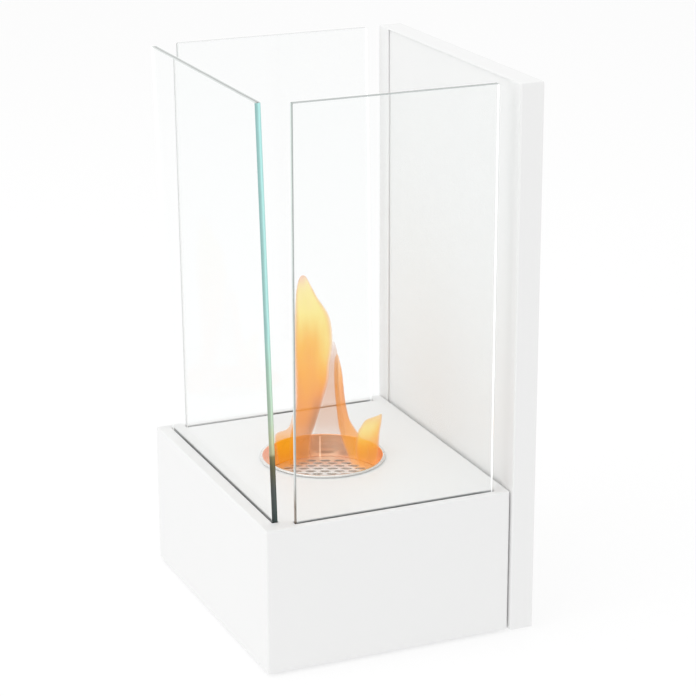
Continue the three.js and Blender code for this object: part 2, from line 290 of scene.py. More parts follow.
def soften(piece: Piece, width: float, segments: int = 2, angle: float = 40.0) -> None:
    """Takes the sharpness off a finished piece's edges and smooths its rounds.

    Args:
        piece: the object to finish.
        width: how wide the broken edge is.
        segments: how many facets it has.
        angle: edges sharper than this are broken.
    """
    limit = math.radians(angle)
    modify(piece, "BEVEL", width=width, segments=segments, limit_method="ANGLE", angle_limit=limit)
    smooth(piece, angle)


def smooth(piece: Piece, angle: float = 40.0) -> None:
    """Shades a piece smooth, with flat faces kept flat.

    Args:
        piece: the object to shade.
        angle: edges sharper than this stay crisp.
    """
    make_active(piece)
    bpy.ops.object.shade_smooth_by_angle(angle=math.radians(angle))
    modify(piece, "WEIGHTED_NORMAL", keep_sharp=True, weight=100)


def turn(name: str, profile: Sequence[tuple[float, float]], sides: int) -> Piece:
    """Turns a solid about the Z axis, closed by a flat cap at each end of its profile.

    Args:
        name: the new object's name.
        profile: pairs of radius and height, from one cap to the other.
        sides: how many sides it has.

    Returns:
        The turned solid.
    """
    deselect_everything()
    radius, height = profile[0]
    bpy.ops.mesh.primitive_circle_add(
        vertices=sides, radius=radius, fill_type="NOTHING", location=(0, 0, height)
    )
    solid = settle(bpy.context.object)
    solid.name = name
    with editing(solid, Element.EDGES, lambda _: True):
        for wider, higher in profile[1:]:
            rise = (0, 0, higher - height)
            bpy.ops.mesh.extrude_edges_move(TRANSFORM_OT_translate={"value": rise})
            share = wider / radius
            bpy.ops.transform.resize(value=(share, share, 1), center_override=(0, 0, higher))
            radius, height = wider, higher
        bpy.ops.mesh.select_all(action="SELECT")
        bpy.ops.mesh.fill_holes(sides=0)
    tidy_normals(solid)
    return solid


def copy_to(piece: Piece, name: str, place: Sequence[float], turned: Euler = Euler()) -> Piece:
    """Copies a piece with its own mesh and settles the copy at a place.

    Args:
        piece: the object to copy, modelled at the origin.
        name: the copy's name.
        place: where its origin goes.
        turned: how it is turned there.

    Returns:
        The copy.
    """
    twin = piece.copy()
    twin.data = piece.data.copy()
    twin.name = name
    bpy.context.scene.collection.objects.link(twin)
    twin.location = place
    twin.rotation_euler = turned
    return settle(twin)


def arc(centre: tuple[float, float], radius: float, start: float, end: float,
        steps: int) -> list[tuple[float, float]]:
    """Points of a circular arc in a turned profile.

    Args:
        centre: the arc's centre, as radius and height.
        radius: the arc's own radius.
        start: the first angle, in degrees from outwards towards up.
        end: the last angle.
        steps: how many steps lie between them.

    Returns:
        Pairs of radius and height.
    """
    angles = [math.radians(start + (end - start) * step / steps) for step in range(steps + 1)]
    return [(centre[0] + radius * math.cos(a), centre[1] + radius * math.sin(a)) for a in angles]


def hand_over(piece: Piece, material: bpy.types.Material, body: Body, slot: Slot | None,
              *nodes: str) -> Piece:
    """Dresses a finished piece and puts it on its body in place of its nodes.

    Args:
        piece: the finished object.
        material: its material.
        body: the body it rides on.
        slot: not used.
        *nodes: the nodes that it stands for.

    Returns:
        The same object.
    """
    if not piece.data.materials:
        piece.data.materials.append(material)
    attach(piece, body.value)
    if nodes:
        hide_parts(*nodes)
    LOG.info("%s: %d faces, on %s", piece.name, len(piece.data.polygons), body.value)
    return piece


# ---------------------------------------------------------------------------
# Finishes
# ---------------------------------------------------------------------------


class Tree:
    """Places and links the nodes of one node tree."""

    def __init__(self, tree: bpy.types.NodeTree) -> None:
        """Starts work on a node tree.

        Args:
            tree: a material's tree or a node group.
        """
        self.tree = tree

    def add(self, kind: str, inputs: dict[str | int, object] | None = None,
            **settings: object) -> bpy.types.Node:
        """Adds a node, sets it and feeds it.

        Args:
            kind: the node's type name, without its Shader prefix.
            inputs: a constant or an output socket for each input name or number.
            **settings: the node's own settings.

        Returns:
            The node.
        """
        node = self.tree.nodes.new(kind if kind.startswith("Node") else f"ShaderNode{kind}")
        for setting, value in settings.items():
            setattr(node, setting, value)
        for key, value in (inputs or {}).items():
            if isinstance(value, bpy.types.NodeSocket):
                self.tree.links.new(value, node.inputs[key])
            else:
                node.inputs[key].default_value = value
        return node

    def math(self, operation: str, *values: object) -> bpy.types.NodeSocket:
        """Adds a Math node.

        Args:
            operation: its operation.
            *values: its inputs, in order.

        Returns:
            Its output.
        """
        return self.add("Math", dict(enumerate(values)), operation=operation).outputs[0]

    def remap(self, value: bpy.types.NodeSocket, low: float, high: float, to_low: float,
              to_high: float, smooth_ends: bool = False) -> bpy.types.NodeSocket:
        """Adds a Map Range node.

        Args:
            value: what is mapped.
            low: the value that gives to_low.
            high: the value that gives to_high.
            to_low: the output at low.
            to_high: the output at high.
            smooth_ends: eases in and out instead of a straight line.

        Returns:
            Its output.
        """
        kind = "SMOOTHSTEP" if smooth_ends else "LINEAR"
        inputs = {"Value": value, "From Min": low, "From Max": high, "To Min": to_low, "To Max": to_high}
        return self.add("MapRange", inputs, interpolation_type=kind).outputs["Result"]

    def blend(self, share: object, first: object, second: object) -> bpy.types.NodeSocket:
        """Mixes two colours.

        Args:
            share: how much of the second is seen.
            first: a colour or a socket.
            second: a colour or a socket.

        Returns:
            The mixed colour.
        """
        node = self.add("Mix", {0: share, 6: first, 7: second}, data_type="RGBA")
        return node.outputs[2]

    def ramp(self, value: bpy.types.NodeSocket,
             stops: Sequence[tuple[float, Colour]]) -> bpy.types.NodeSocket:
        """Adds a colour ramp.

        Args:
            value: what is looked up.
            stops: pairs of place and colour.

        Returns:
            The colour.
        """
        node = self.add("ValToRGB", {"Fac": value})
        elements = node.color_ramp.elements
        while len(elements) < len(stops):
            elements.new(0.5)
        for element, (place, colour) in zip(elements, stops):
            element.position = place
            element.color = (*colour, 1)
        return node.outputs["Color"]


def new_group(name: str, inputs: dict[str, float],
              outputs: dict[str, str]) -> tuple[Tree, bpy.types.Node, bpy.types.Node]:
    """Starts a shared node group.

    Args:
        name: the group's name.
        inputs: each number input with its usual value.
        outputs: each output with its socket type.

    Returns:
        The group's tree, its input node and its output node.
    """
    group = bpy.data.node_groups.new(name, "ShaderNodeTree")
    group.interface.new_socket("Vector", in_out="INPUT", socket_type="NodeSocketVector")
    for label, usual in inputs.items():
        socket = group.interface.new_socket(label, in_out="INPUT", socket_type="NodeSocketFloat")
        socket.default_value = usual
    for label, kind in outputs.items():
        group.interface.new_socket(label, in_out="OUTPUT", socket_type=kind)
    tree = Tree(group)
    return tree, tree.add("NodeGroupInput"), tree.add("NodeGroupOutput")


def shared_group(name: str, build: Callable[[], bpy.types.NodeTree]) -> bpy.types.NodeTree:
    """Finds a node group, or builds it once.

    Args:
        name: the group's name.
        build: makes the group.

    Returns:
        The group.
    """
    return bpy.data.node_groups.get(name) or build()


def grain_group() -> bpy.types.NodeTree:
    """A fine grain at two sizes, with a broad drift under it, for coats, wool and rubber."""
    tree, source, result = new_group(
        "surface_grain", {"Grain Size": 0.001, "Drift Size": 0.08},
        {"Height": "NodeSocketFloat", "Drift": "NodeSocketFloat"},
    )
    fine_scale = tree.math("DIVIDE", 1.0, source.outputs["Grain Size"])
    broad_scale = tree.math("DIVIDE", 1.0, source.outputs["Drift Size"])
    fine = tree.add("TexNoise", {"Vector": source.outputs["Vector"], "Scale": fine_scale, "Detail": 2.0})
    coarse_scale = tree.math("MULTIPLY", fine_scale, 0.31)
    coarse = tree.add(
        "TexNoise", {"Vector": source.outputs["Vector"], "Scale": coarse_scale, "Detail": 1.0}
    )
    both = tree.math("MULTIPLY_ADD", coarse.outputs[0], 0.6, fine.outputs[0])
    drift = tree.add("TexNoise", {"Vector": source.outputs["Vector"], "Scale": broad_scale, "Detail": 3.0})
    tree.tree.links.new(both, result.inputs["Height"])
    tree.tree.links.new(drift.outputs[0], result.inputs["Drift"])
    return tree.tree


def streak_group() -> bpy.types.NodeTree:
    """Fine streaks that run along X and Y and change quickly up Z, as brushing leaves on a turned wall."""
    tree, source, result = new_group(
        "brushed_streaks", {"Streak Length": 0.03, "Streak Width": 0.0004},
        {"Streaks": "NodeSocketFloat", "Cloud": "NodeSocketFloat"},
    )
    along = tree.math("DIVIDE", 1.0, source.outputs["Streak Length"])
    across = tree.math("DIVIDE", 1.0, source.outputs["Streak Width"])
    stretch = tree.add("CombineXYZ", {"X": along, "Y": along, "Z": across})
    stretched = tree.add(
        "VectorMath", {0: source.outputs["Vector"], 1: stretch.outputs[0]}, operation="MULTIPLY"
    )
    streaks = tree.add("TexNoise", {"Vector": stretched.outputs[0], "Scale": 1.0, "Detail": 4.0})
    cloud = tree.add("TexNoise", {"Vector": source.outputs["Vector"], "Scale": along, "Detail": 2.0})
    tree.tree.links.new(streaks.outputs[0], result.inputs["Streaks"])
    tree.tree.links.new(cloud.outputs[0], result.inputs["Cloud"])
    return tree.tree


def new_material(name: str) -> tuple[bpy.types.Material, Tree, bpy.types.Node, bpy.types.Node]:
    """Starts a material.

    Args:
        name: the material's name.

    Returns:
        The material, its tree, its Principled node and its output node.
    """
    material = bpy.data.materials.new(name)
    material.use_nodes = True
    nodes = material.node_tree.nodes
    return material, Tree(material.node_tree), nodes["Principled BSDF"], nodes["Material Output"]


def feed(tree: Tree, node: bpy.types.Node, inputs: dict[str, object]) -> None:
    """Sets or links several inputs of one node.

    Args:
        tree: the tree that holds the node.
        node: the node to feed.
        inputs: a constant or an output socket for each input.
    """
    for key, value in inputs.items():
        if isinstance(value, bpy.types.NodeSocket):
            tree.tree.links.new(value, node.inputs[key])
        else:
            node.inputs[key].default_value = value


def object_place(tree: Tree) -> bpy.types.NodeSocket:
    """The surface point in the object's own coordinates, in metres."""
    return tree.add("TexCoord").outputs["Object"]


@dataclass(frozen=True)
class CoatedMetal:
    """A matt or satin coat with a fine grain: powder coat, zinc, rubber, silicone or ceramic wool."""

    name: str
    light: Colour
    dark: Colour
    roughness: tuple[float, float]
    grain_size: float
    grain_depth: float
    drift_size: float = 0.08
    metallic: float = 0.0
    sheen: float = 0.0

    def material(self) -> bpy.types.Material:
        """Builds the material."""
        material, tree, principled, _ = new_material(self.name)
        grain = tree.add("Group", node_tree=shared_group("surface_grain", grain_group))
        feed(tree, grain, {
            "Vector": object_place(tree), "Grain Size": self.grain_size, "Drift Size": self.drift_size,
        })
        colour = tree.blend(grain.outputs["Drift"], (*self.dark, 1), (*self.light, 1))
        rough = tree.remap(grain.outputs["Drift"], 0.3, 0.7, *self.roughness)
        bump = tree.add("Bump", {
            "Height": grain.outputs["Height"], "Distance": self.grain_depth, "Strength": 1.0,
        })
        feed(tree, principled, {
            "Base Color": colour, "Roughness": rough, "Normal": bump.outputs[0],
            "Metallic": self.metallic, "Sheen Weight": self.sheen,
        })
        return material


@dataclass(frozen=True)
class BrushedSteel:
    """Bright stainless steel, brushed round its axis, with the flame's light painted on in one band.

    The band lies between four radii (where it starts, is full, is full and ends) and between two
    heights. There the flame's light is painted on: an orange reflection in the colour, and a painted
    glow of the same tint. The painted tint changes across the cup, along the line that
    painted_firelight_turn turns from +X.
    """

    name: str
    bright: Colour
    dull: Colour
    axis_at: tuple[float, float]
    painted_firelight_radii: tuple[float, float, float, float] = (1.0, 2.0, 3.0, 4.0)
    painted_firelight_heights: tuple[float, float] = (1.0, 0.9)
    painted_firelight_across: tuple[tuple[float, Colour], ...] = ((0.0, (0.8, 0.4, 0.2)), (1.0, (0.8, 0.4, 0.2)))
    painted_firelight_turn: float = 0.0
    painted_glow_share: float = 0.17
    roughness: tuple[float, float] = (0.16, 0.34)
    streak_length: float = 30 * MM
    streak_width: float = 0.4 * MM
    streak_depth: float = 0.02 * MM

    def material(self) -> bpy.types.Material:
        """Builds the material."""
        material, tree, principled, _ = new_material(self.name)
        centred = tree.add("Mapping", {
            "Vector": object_place(tree), "Location": (-self.axis_at[0], -self.axis_at[1], 0),
        })
        streaks = tree.add("Group", node_tree=shared_group("brushed_streaks", streak_group))
        feed(tree, streaks, {
            "Vector": centred.outputs[0], "Streak Length": self.streak_length,
            "Streak Width": self.streak_width,
        })
        bare = tree.blend(streaks.outputs["Streaks"], (*self.dull, 1), (*self.bright, 1))
        flat = tree.add("VectorMath", {0: centred.outputs[0], 1: (1, 1, 0)}, operation="MULTIPLY")
        radius = tree.add("VectorMath", {0: flat.outputs[0]}, operation="LENGTH").outputs["Value"]
        height = tree.add("SeparateXYZ", {0: centred.outputs[0]}).outputs["Z"]
        # The band where the flame's light is painted on.
        outside = tree.remap(radius, *self.painted_firelight_radii[:2], 0.0, 1.0)
        inside = tree.remap(radius, *self.painted_firelight_radii[2:], 1.0, 0.0)
        below = tree.remap(height, *self.painted_firelight_heights, 0.0, 1.0)
        firelight_warmth = tree.math("MULTIPLY", tree.math("MULTIPLY", outside, inside), below)
        turned = tree.add("Mapping", {"Vector": centred.outputs[0], "Rotation": (0, 0, -self.painted_firelight_turn)})
        across = tree.add("SeparateXYZ", {0: turned.outputs[0]}).outputs["X"]
        reach = self.painted_firelight_radii[2]
        drift = tree.remap(streaks.outputs["Cloud"], 0.3, 0.7, -0.04, 0.04)
        place = tree.math("ADD", tree.remap(across, -reach, reach, 0.0, 1.0), drift)
        tint = tree.ramp(place, self.painted_firelight_across)
        # Painted light: in the band the flame's orange reflection replaces the bare steel's colour, and a
        # painted glow of the same tint is added as emission.
        colour = tree.blend(firelight_warmth, bare, tint)
        lit = tree.blend(tree.math("MULTIPLY", firelight_warmth, self.painted_glow_share), (0, 0, 0, 1), tint)
        rough = tree.remap(streaks.outputs["Cloud"], 0.3, 0.7, *self.roughness)
        bump = tree.add("Bump", {
            "Height": streaks.outputs["Streaks"], "Distance": self.streak_depth, "Strength": 0.5,
        })
        feed(tree, principled, {
            "Base Color": colour, "Roughness": rough, "Normal": bump.outputs[0], "Metallic": 1.0,
            "Emission Color": lit, "Emission Strength": 1.0,
        })
        return material


@dataclass(frozen=True)
class ClearGlass:
    """Clear tempered glass. Lamps shine through it, and a trace of dust dulls it here and there."""

    name: str
    tint: Colour
    ior: float = 1.35

    def material(self) -> bpy.types.Material:
        """Builds the material."""
        material, tree, principled, output = new_material(self.name)
        grain = tree.add("Group", node_tree=shared_group("surface_grain", grain_group))
        feed(tree, grain, {"Vector": object_place(tree), "Grain Size": 0.004, "Drift Size": 0.15})
        rough = tree.remap(grain.outputs["Drift"], 0.45, 0.8, 0.0, 0.012)
        feed(tree, principled, {
            "Base Color": (*self.tint, 1), "Roughness": rough, "IOR": self.ior,
            "Transmission Weight": 1.0, "Metallic": 0.0,
        })
        through = tree.add("BsdfTransparent", {"Color": (*self.tint, 1)})
        path = tree.add("LightPath")
        lit = tree.math("MAXIMUM", path.outputs["Is Shadow Ray"], path.outputs["Is Diffuse Ray"])
        mix = tree.add("MixShader", {0: lit, 1: principled.outputs[0], 2: through.outputs[0]})
        tree.tree.links.new(mix.outputs[0], output.inputs["Surface"])
        return material


@dataclass(frozen=True)
class GlassEdge:
    """A polished edge of a pane with painted light: painted highlights and shade across its thickness,
    painted shade and flame reflection up its height, a painted glow from inside.
    """

    name: str
    across: tuple[tuple[float, float], ...]
    heights: tuple[tuple[float, Colour], ...]
    inside: Colour
    painted_inside_glow: float = 0.35

    def material(self) -> bpy.types.Material:
        """Builds the material."""
        material, tree, principled, _ = new_material(self.name)
        place = object_place(tree)
        height = tree.add("SeparateXYZ", {0: place}).outputs["Z"]
        across = tree.add("SeparateXYZ", {0: tree.add("UVMap", uv_map="pane").outputs[0]}).outputs["X"]
        grain = tree.add("Group", node_tree=shared_group("surface_grain", grain_group))
        feed(tree, grain, {"Vector": place, "Grain Size": 0.0015, "Drift Size": 0.03})
        wave = tree.remap(grain.outputs["Drift"], 0.3, 0.7, -0.06, 0.06)
        # Painted highlights and shade, as lines across the edge's thickness.
        painted_streaks = tree.ramp(
            tree.math("ADD", across, wave), [(at, (value,) * 3) for at, value in self.across]
        )
        low, high = self.heights[0][0], self.heights[-1][0]
        stops = [((at - low) / (high - low), colour) for at, colour in self.heights]
        # The tint up the height, with painted shade and a painted reflection of the flame where the table
        # gives them.
        tint = tree.ramp(tree.remap(height, low, high, 0.0, 1.0), stops)
        outer = tree.add("Mix", {0: 1.0, 6: tint, 7: painted_streaks}, data_type="RGBA", blend_type="MULTIPLY")
        # From inside, the edge is painted pale and given a painted glow.
        behind = tree.add("NewGeometry").outputs["Backfacing"]
        colour = tree.blend(behind, outer.outputs[2], (*self.inside, 1))
        inner_light = [self.painted_inside_glow * value for value in self.inside]
        glow = tree.blend(behind, (0, 0, 0, 1), (*inner_light, 1))
        rough = tree.remap(grain.outputs["Height"], 0.5, 1.1, 0.08, 0.2)
        feed(tree, principled, {
            "Base Color": colour, "Roughness": rough, "IOR": 1.5, "Coat Weight": 0.3,
            "Emission Color": glow, "Emission Strength": 1.0,
        })
        return material


@dataclass(frozen=True)
class FlameBody:
    """Burning vapour: glowing, seen through where it is thin, orange low down and yellow above."""

    name: str
    stops: tuple[tuple[float, Colour], ...]
    edge: Colour
    edge_share: float
    edge_opacity: float
    stretch: tuple[float, float, float] = (70, 70, 16)

    def material(self) -> bpy.types.Material:
        """Builds the material."""
        material, tree, principled, _ = new_material(self.name)
        place = object_place(tree)
        shape = tree.add("SeparateXYZ", {0: tree.add("UVMap", uv_map="shape").outputs[0]})
        burn = tree.add("SeparateXYZ", {0: tree.add("UVMap", uv_map="burn").outputs[0]})
        stretched = tree.add("Mapping", {"Vector": place, "Scale": self.stretch})
        wisps = tree.add("TexNoise", {"Vector": stretched.outputs[0], "Scale": 1.0, "Detail": 3.0})
        shift = tree.remap(wisps.outputs[0], 0.3, 0.7, -0.05, 0.05)
        firelight_warmth = tree.math("ADD", burn.outputs["X"], shift)
        core = tree.ramp(firelight_warmth, self.stops)
        from_core = tree.math("ABSOLUTE", tree.math("SUBTRACT", shape.outputs["X"], 0.5))
        to_edge = tree.remap(from_core, 0.34, 0.49, 0.0, self.edge_share, smooth_ends=True)
        colour = tree.blend(to_edge, core, (*self.edge, 1))
        outline = tree.remap(from_core, 0.4, 0.5, 1.0, self.edge_opacity, smooth_ends=True)
        wispy = tree.remap(wisps.outputs[0], 0.3, 0.7, 0.88, 1.0)
        alpha = tree.math("MULTIPLY", tree.math("MULTIPLY", outline, wispy), burn.outputs["Y"])
        feed(tree, principled, {
            "Base Color": (0, 0, 0, 1), "Roughness": 1.0, "Specular IOR Level": 0.0,
            "Emission Color": colour, "Emission Strength": 1.0, "Alpha": alpha,
        })
        return material


# ---------------------------------------------------------------------------
# Painted sheet metal
# ---------------------------------------------------------------------------


@dataclass
class BaseBox:
    """The folded base: casing, bottom plate and feet."""

    paint: bpy.types.Material
    zinc: bpy.types.Material
    rubber: bpy.types.Material
    sheet: float = 1.2 * MM
    edge_radius: float = 2 * MM
    flange: float = 14 * MM
    slot_width: float = 6.4 * MM
    burner_hole: float = 53.4 * MM
    broken_edge: float = 0.3 * MM
    plate_corner: float = 4 * MM
    plate_edge: float = 0.2 * MM
    sole_dish: float = 0.4 * MM
    sole_round: float = 0.6 * MM

    def build(self) -> None:
        """Builds every piece of the base."""
        self.build_casing()
        self.build_bottom_plate()
        self.build_feet()

    def build_casing(self) -> None:
        """Folds the casing, turns in its lower flange and cuts the burner hole and the pane slots."""
        low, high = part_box("base_casing")
        middle = (low + high) / 2
        casing = add_box("base_shell", low, high)
        with editing(casing, Element.FACES, lambda at: at.z < low.z + self.sheet):
            bpy.ops.mesh.delete(type="FACE")
        bevel(casing, self.edge_radius, 6, lambda at: at.z > low.z + self.sheet
              and (at.y < high.y - MM or abs(at.x - middle.x) > MM))
        with editing(casing, Element.EDGES, lambda at: at.z < low.z + MM / 10):
            bpy.ops.mesh.extrude_edges_move(TRANSFORM_OT_translate={"value": (0, 0, 0)})
            size = high - low
            shares = [1 - 2 * self.flange / size.x, 1 - 2 * self.flange / size.y, 1]
            bpy.ops.transform.resize(value=shares, center_override=(middle.x, middle.y, low.z))
        tidy_normals(casing)
        modify(casing, "SOLIDIFY", thickness=self.sheet, offset=-1, use_even_offset=True)
        burner_low, burner_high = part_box("burner_cup")
        hole = add_cylinder("hole", self.burner_hole, high.z - 3 * self.sheet, high.z + self.sheet, 96)
        hole.location = ((burner_low.x + burner_high.x) / 2, (burner_low.y + burner_high.y) / 2, 0)
        cut(casing, [settle(hole)] + [self.slot(name, high.z) for name in ("front", "left", "right")])
        soften(casing, self.broken_edge)
        hand_over(casing, self.paint, Body.HOUSING, Slot.WHITE_PAINT, "base_casing")

    def slot(self, name: str, top: float) -> Piece:
        """A cutter for one pane's slot, as wide as its channel is inside.

        Args:
            name: front, left or right.
            top: the height of the top plate.

        Returns:
            The cutter.
        """
        low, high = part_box(f"{name}_channel")
        middle = (low + high) / 2
        half = (high - low) / 2
        if half.x > half.y:
            half.y = self.slot_width / 2
        else:
            half.x = self.slot_width / 2
        return add_box(
            f"{name}_slot",
            (middle.x - half.x, middle.y - half.y, top - 3 * self.sheet),
            (middle.x + half.x, middle.y + half.y, top + self.sheet),
        )

    def build_bottom_plate(self) -> None:
        """A flat plate with rounded corners."""
        low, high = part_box("base_bottom_plate")
        plate = add_box("bottom_cover", low, high)
        bevel(plate, self.plate_corner, 6, lambda at: abs(at.z - (low.z + high.z) / 2) < MM / 10)
        soften(plate, self.plate_edge)
        hand_over(plate, self.zinc, Body.HOUSING, Slot.ZINC_STEEL, "base_bottom_plate")

    def build_feet(self) -> None:
        """Four low rubber feet with a rounded rim and a dished sole."""
        low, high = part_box("foot_front_left")
        radius = (high.x - low.x) / 2
        height = high.z - low.z
        profile = [(radius * 0.45, self.sole_dish), (radius * 0.6, 0.0)]
        profile += arc((radius - self.sole_round, self.sole_round), self.sole_round, -90, 0, 4)
        profile += [(radius * 0.96, height)]
        model = turn("foot", profile, 40)
        smooth(model)
        for corner in ("front_left", "front_right", "back_left", "back_right"):
            low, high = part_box(f"foot_{corner}")
            middle = (low + high) / 2
            foot = copy_to(model, f"rubber_foot_{corner}", (middle.x, middle.y, 0))
            hand_over(foot, self.rubber, Body.HOUSING, Slot.RUBBER, f"foot_{corner}")
        bpy.data.objects.remove(model)


@dataclass
class BackPanel:
    """The tall hollow panel behind the flame: casing, liner and back cover."""

    paint: bpy.types.Material
    sheet: float = 1.2 * MM
    corner_radius: float = 1.6 * MM
    cap_radius: float = 1.5 * MM
    liner_gap: float = 0.35 * MM
    lip_width: float = 21 * MM
    broken_edge: float = 0.25 * MM

    def build(self) -> None:
        """Builds every piece of the panel that shows."""
        self.build_casing()
        self.build_liner()
        self.build_cover()

    def build_casing(self) -> None:
        """Folds the casing from its front lips round to its open back."""
        low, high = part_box("panel_casing")
        casing = add_box("panel_shell", low, high)
        with editing(casing, Element.FACES, lambda at: at.y > high.y - self.sheet):
            bpy.ops.mesh.delete(type="FACE")
        middle_z = (low.z + high.z) / 2
        bevel(casing, self.corner_radius, 6,
              lambda at: at.y < low.y + MM / 10 and abs(at.z - middle_z) < MM)
        bevel(casing, self.cap_radius, 4, lambda at: at.z > high.z - MM / 10)
        tidy_normals(casing)
        modify(casing, "SOLIDIFY", thickness=self.sheet, offset=-1, use_even_offset=True)
        window = add_box(
            "window",
            (low.x + self.lip_width, low.y - self.sheet, low.z + self.sheet),
            (high.x - self.lip_width, low.y + 2 * self.sheet, high.z - self.sheet),
        )
        cut(casing, [window])
        soften(casing, self.broken_edge)
        hand_over(casing, self.paint, Body.HOUSING, Slot.WHITE_PAINT, "panel_casing")

    def build_liner(self) -> None:
        """The plate behind the lips, which stands off them by a hair so that a dark line shows."""
        low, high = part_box("panel_liner")
        liner = add_box("liner_plate", (low.x, low.y + self.liner_gap, low.z), high)
        soften(liner, self.broken_edge)
        hand_over(liner, self.paint, Body.HOUSING, Slot.WHITE_PAINT, "panel_liner")

    def build_cover(self) -> None:
        """The flat back cover."""
        low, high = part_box("panel_back_cover")
        cover = add_box("back_plate", low, high)
        soften(cover, self.broken_edge)
        hand_over(cover, self.paint, Body.HOUSING, Slot.WHITE_PAINT, "panel_back_cover")


# ---------------------------------------------------------------------------
# Fasteners
# ---------------------------------------------------------------------------


@dataclass
class PanScrews:
    """Pan-head screws with a hexagon socket and a cut thread."""

    zinc: bpy.types.Material
    shank: float = 1.75 * MM
    thread_pitch: float = 0.7 * MM
    thread_depth: float = 0.25 * MM
    low_head: float = 1.3 * MM
    high_head: float = 1.9 * MM
    low_head_up_to: float = 9.5 * MM
    head_round: float = 0.8 * MM
    head_chamfer: float = 0.2 * MM
    socket_radius: float = 1.15 * MM
    socket_depth: float = 0.8 * MM
    point: float = 0.6 * MM

    def build(self) -> None:
        """Builds the screws of the back cover and the bottom plate."""
        rows = [f"{side}_{row}" for side in ("left", "right") for row in (1, 2, 3)]
        self.build_set("cover_screw", "cover_fixing", rows, Vector((0, 1, 0)))
        corners = ["front_left", "front_right", "back_left", "back_right"]
        self.build_set("bottom_screw", "bottom_fixing", corners, Vector((0, 0, -1)))

    def build_set(self, node: str, name: str, places: Sequence[str], outward: Vector) -> None:
        """Models one screw and copies it to each of its places.

        Args:
            node: the start of the nodes' names.
            name: the start of the pieces' names.
            places: the ends of both names.
            outward: the way that the heads face.
        """
        turned = Vector((0, 0, 1)).rotation_difference(outward).to_euler()
        low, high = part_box(f"{node}_{places[0]}")
        along = abs((high - low).dot(outward))
        across = max((high - low) - Vector([abs(c) for c in outward]) * along)
        model = self.model(across / 2, along)
        for place in places:
            low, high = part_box(f"{node}_{place}")
            middle = (low + high) / 2
            foot = middle - outward * along / 2
            screw = copy_to(model, f"{name}_{place}", foot, turned)
            hand_over(screw, self.zinc, Body.HOUSING, Slot.ZINC_STEEL, f"{node}_{place}")
        bpy.data.objects.remove(model)

    def model(self, head: float, length: float) -> Piece:
        """Turns one screw, from its point at the origin to the top of its head.

        Args:
            head: the radius of the head.
            length: the whole length.

        Returns:
            The screw.
        """
        head_height = self.low_head if length < self.low_head_up_to else self.high_head
        under = length - head_height
        root = self.shank - self.thread_depth
        profile = [(self.shank * 0.5, 0.0), (root, self.point)]
        height = self.point
        while height + self.thread_pitch < under - MM:
            profile.append((self.shank, height + self.thread_pitch / 2))
            profile.append((root, height + self.thread_pitch))
            height += self.thread_pitch
        profile += [(self.shank, under - self.point), (self.shank, under), (head - self.head_chamfer, under)]
        profile += arc((head - self.head_round, length - self.head_round), self.head_round, 0, 90, 5)
        screw = turn("screw", profile, 32)
        cut(screw, [add_cylinder("socket", self.socket_radius, length - self.socket_depth, length + MM, 6)])
        soften(screw, 0.06 * MM, 1, 50)
        return screw


# ---------------------------------------------------------------------------
# Glass
# ---------------------------------------------------------------------------


# The pane edges' own teal and grey tints, with light and shade painted on them. The across profiles paint
# highlight and shade lines over an edge's thickness; LINE_ACROSS paints a dark line of shade down the middle
# of the top edges. Up the front upright edge, the dark foot is painted shade in the slot, the olive band is
# a painted reflection of the flame, and the bright teal above is the tint with painted light on it. The
# right upright edge is painted dark brown at its foot, and the right top edge is painted darker.
PALE_ACROSS = ((0.0, 0.7), (0.3, 0.45), (0.5, 0.6), (0.75, 0.95), (1.0, 1.0))
LINE_ACROSS = ((0.0, 0.86), (0.25, 0.6), (0.5, 0.2), (0.75, 0.6), (1.0, 0.96))
PANE_EDGE_TINTS_AND_PAINTED_LIGHT = {
    "front": (
        GlassEdge(
            "front_upright_edge",
            ((0.0, 0.51), (0.35, 0.62), (0.55, 0.85), (0.75, 1.0), (0.88, 0.74), (1.0, 0.75)),
            ((0.14, (0.02, 0.05, 0.045)), (0.162, (0.06, 0.075, 0.07)), (0.183, (0.12, 0.11, 0.035)),
             (0.192, (0.25, 0.22, 0.07)), (0.194, (0.62, 0.6, 0.34)), (0.205, (0.7, 0.76, 0.45)),
             (0.221, (0.66, 0.84, 0.62)), (0.27, (0.6, 0.93, 0.76)), (0.3, (0.56, 0.98, 0.93)),
             (0.48, (0.55, 1.0, 0.97))),
            (0.92, 0.94, 0.93),
        ),
        GlassEdge("front_top_edge", LINE_ACROSS, ((0.4, (0.86, 0.92, 0.9)), (0.5, (0.86, 0.92, 0.9))),
                  (0.9, 0.92, 0.91)),
    ),
    "left": (
        GlassEdge("left_upright_edge", PALE_ACROSS, ((0.14, (0.88, 0.89, 0.88)), (0.48, (0.9, 0.92, 0.91))),
                  (0.92, 0.93, 0.93)),
        GlassEdge("left_top_edge", PALE_ACROSS, ((0.4, (0.96, 0.97, 0.97)), (0.5, (0.96, 0.97, 0.97))),
                  (0.95, 0.95, 0.95)),
    ),
    "right": (
        GlassEdge("right_upright_edge", ((0.0, 0.5), (0.3, 0.4), (0.55, 0.9), (1.0, 1.0)),
                  ((0.135, (0.36, 0.28, 0.22)), (0.15, (0.45, 0.38, 0.32)), (0.17, (0.8, 0.84, 0.82)),
                   (0.48, (0.78, 0.88, 0.84))),
                  (0.95, 0.96, 0.96)),
        GlassEdge("right_top_edge", LINE_ACROSS, ((0.4, (0.62, 0.68, 0.66)), (0.5, (0.62, 0.68, 0.66))),
                  (0.9, 0.92, 0.91)),
    ),
}


@dataclass
class PaneEdges:
    """The materials of one pane's edges."""

    upright: bpy.types.Material
    top: bpy.types.Material


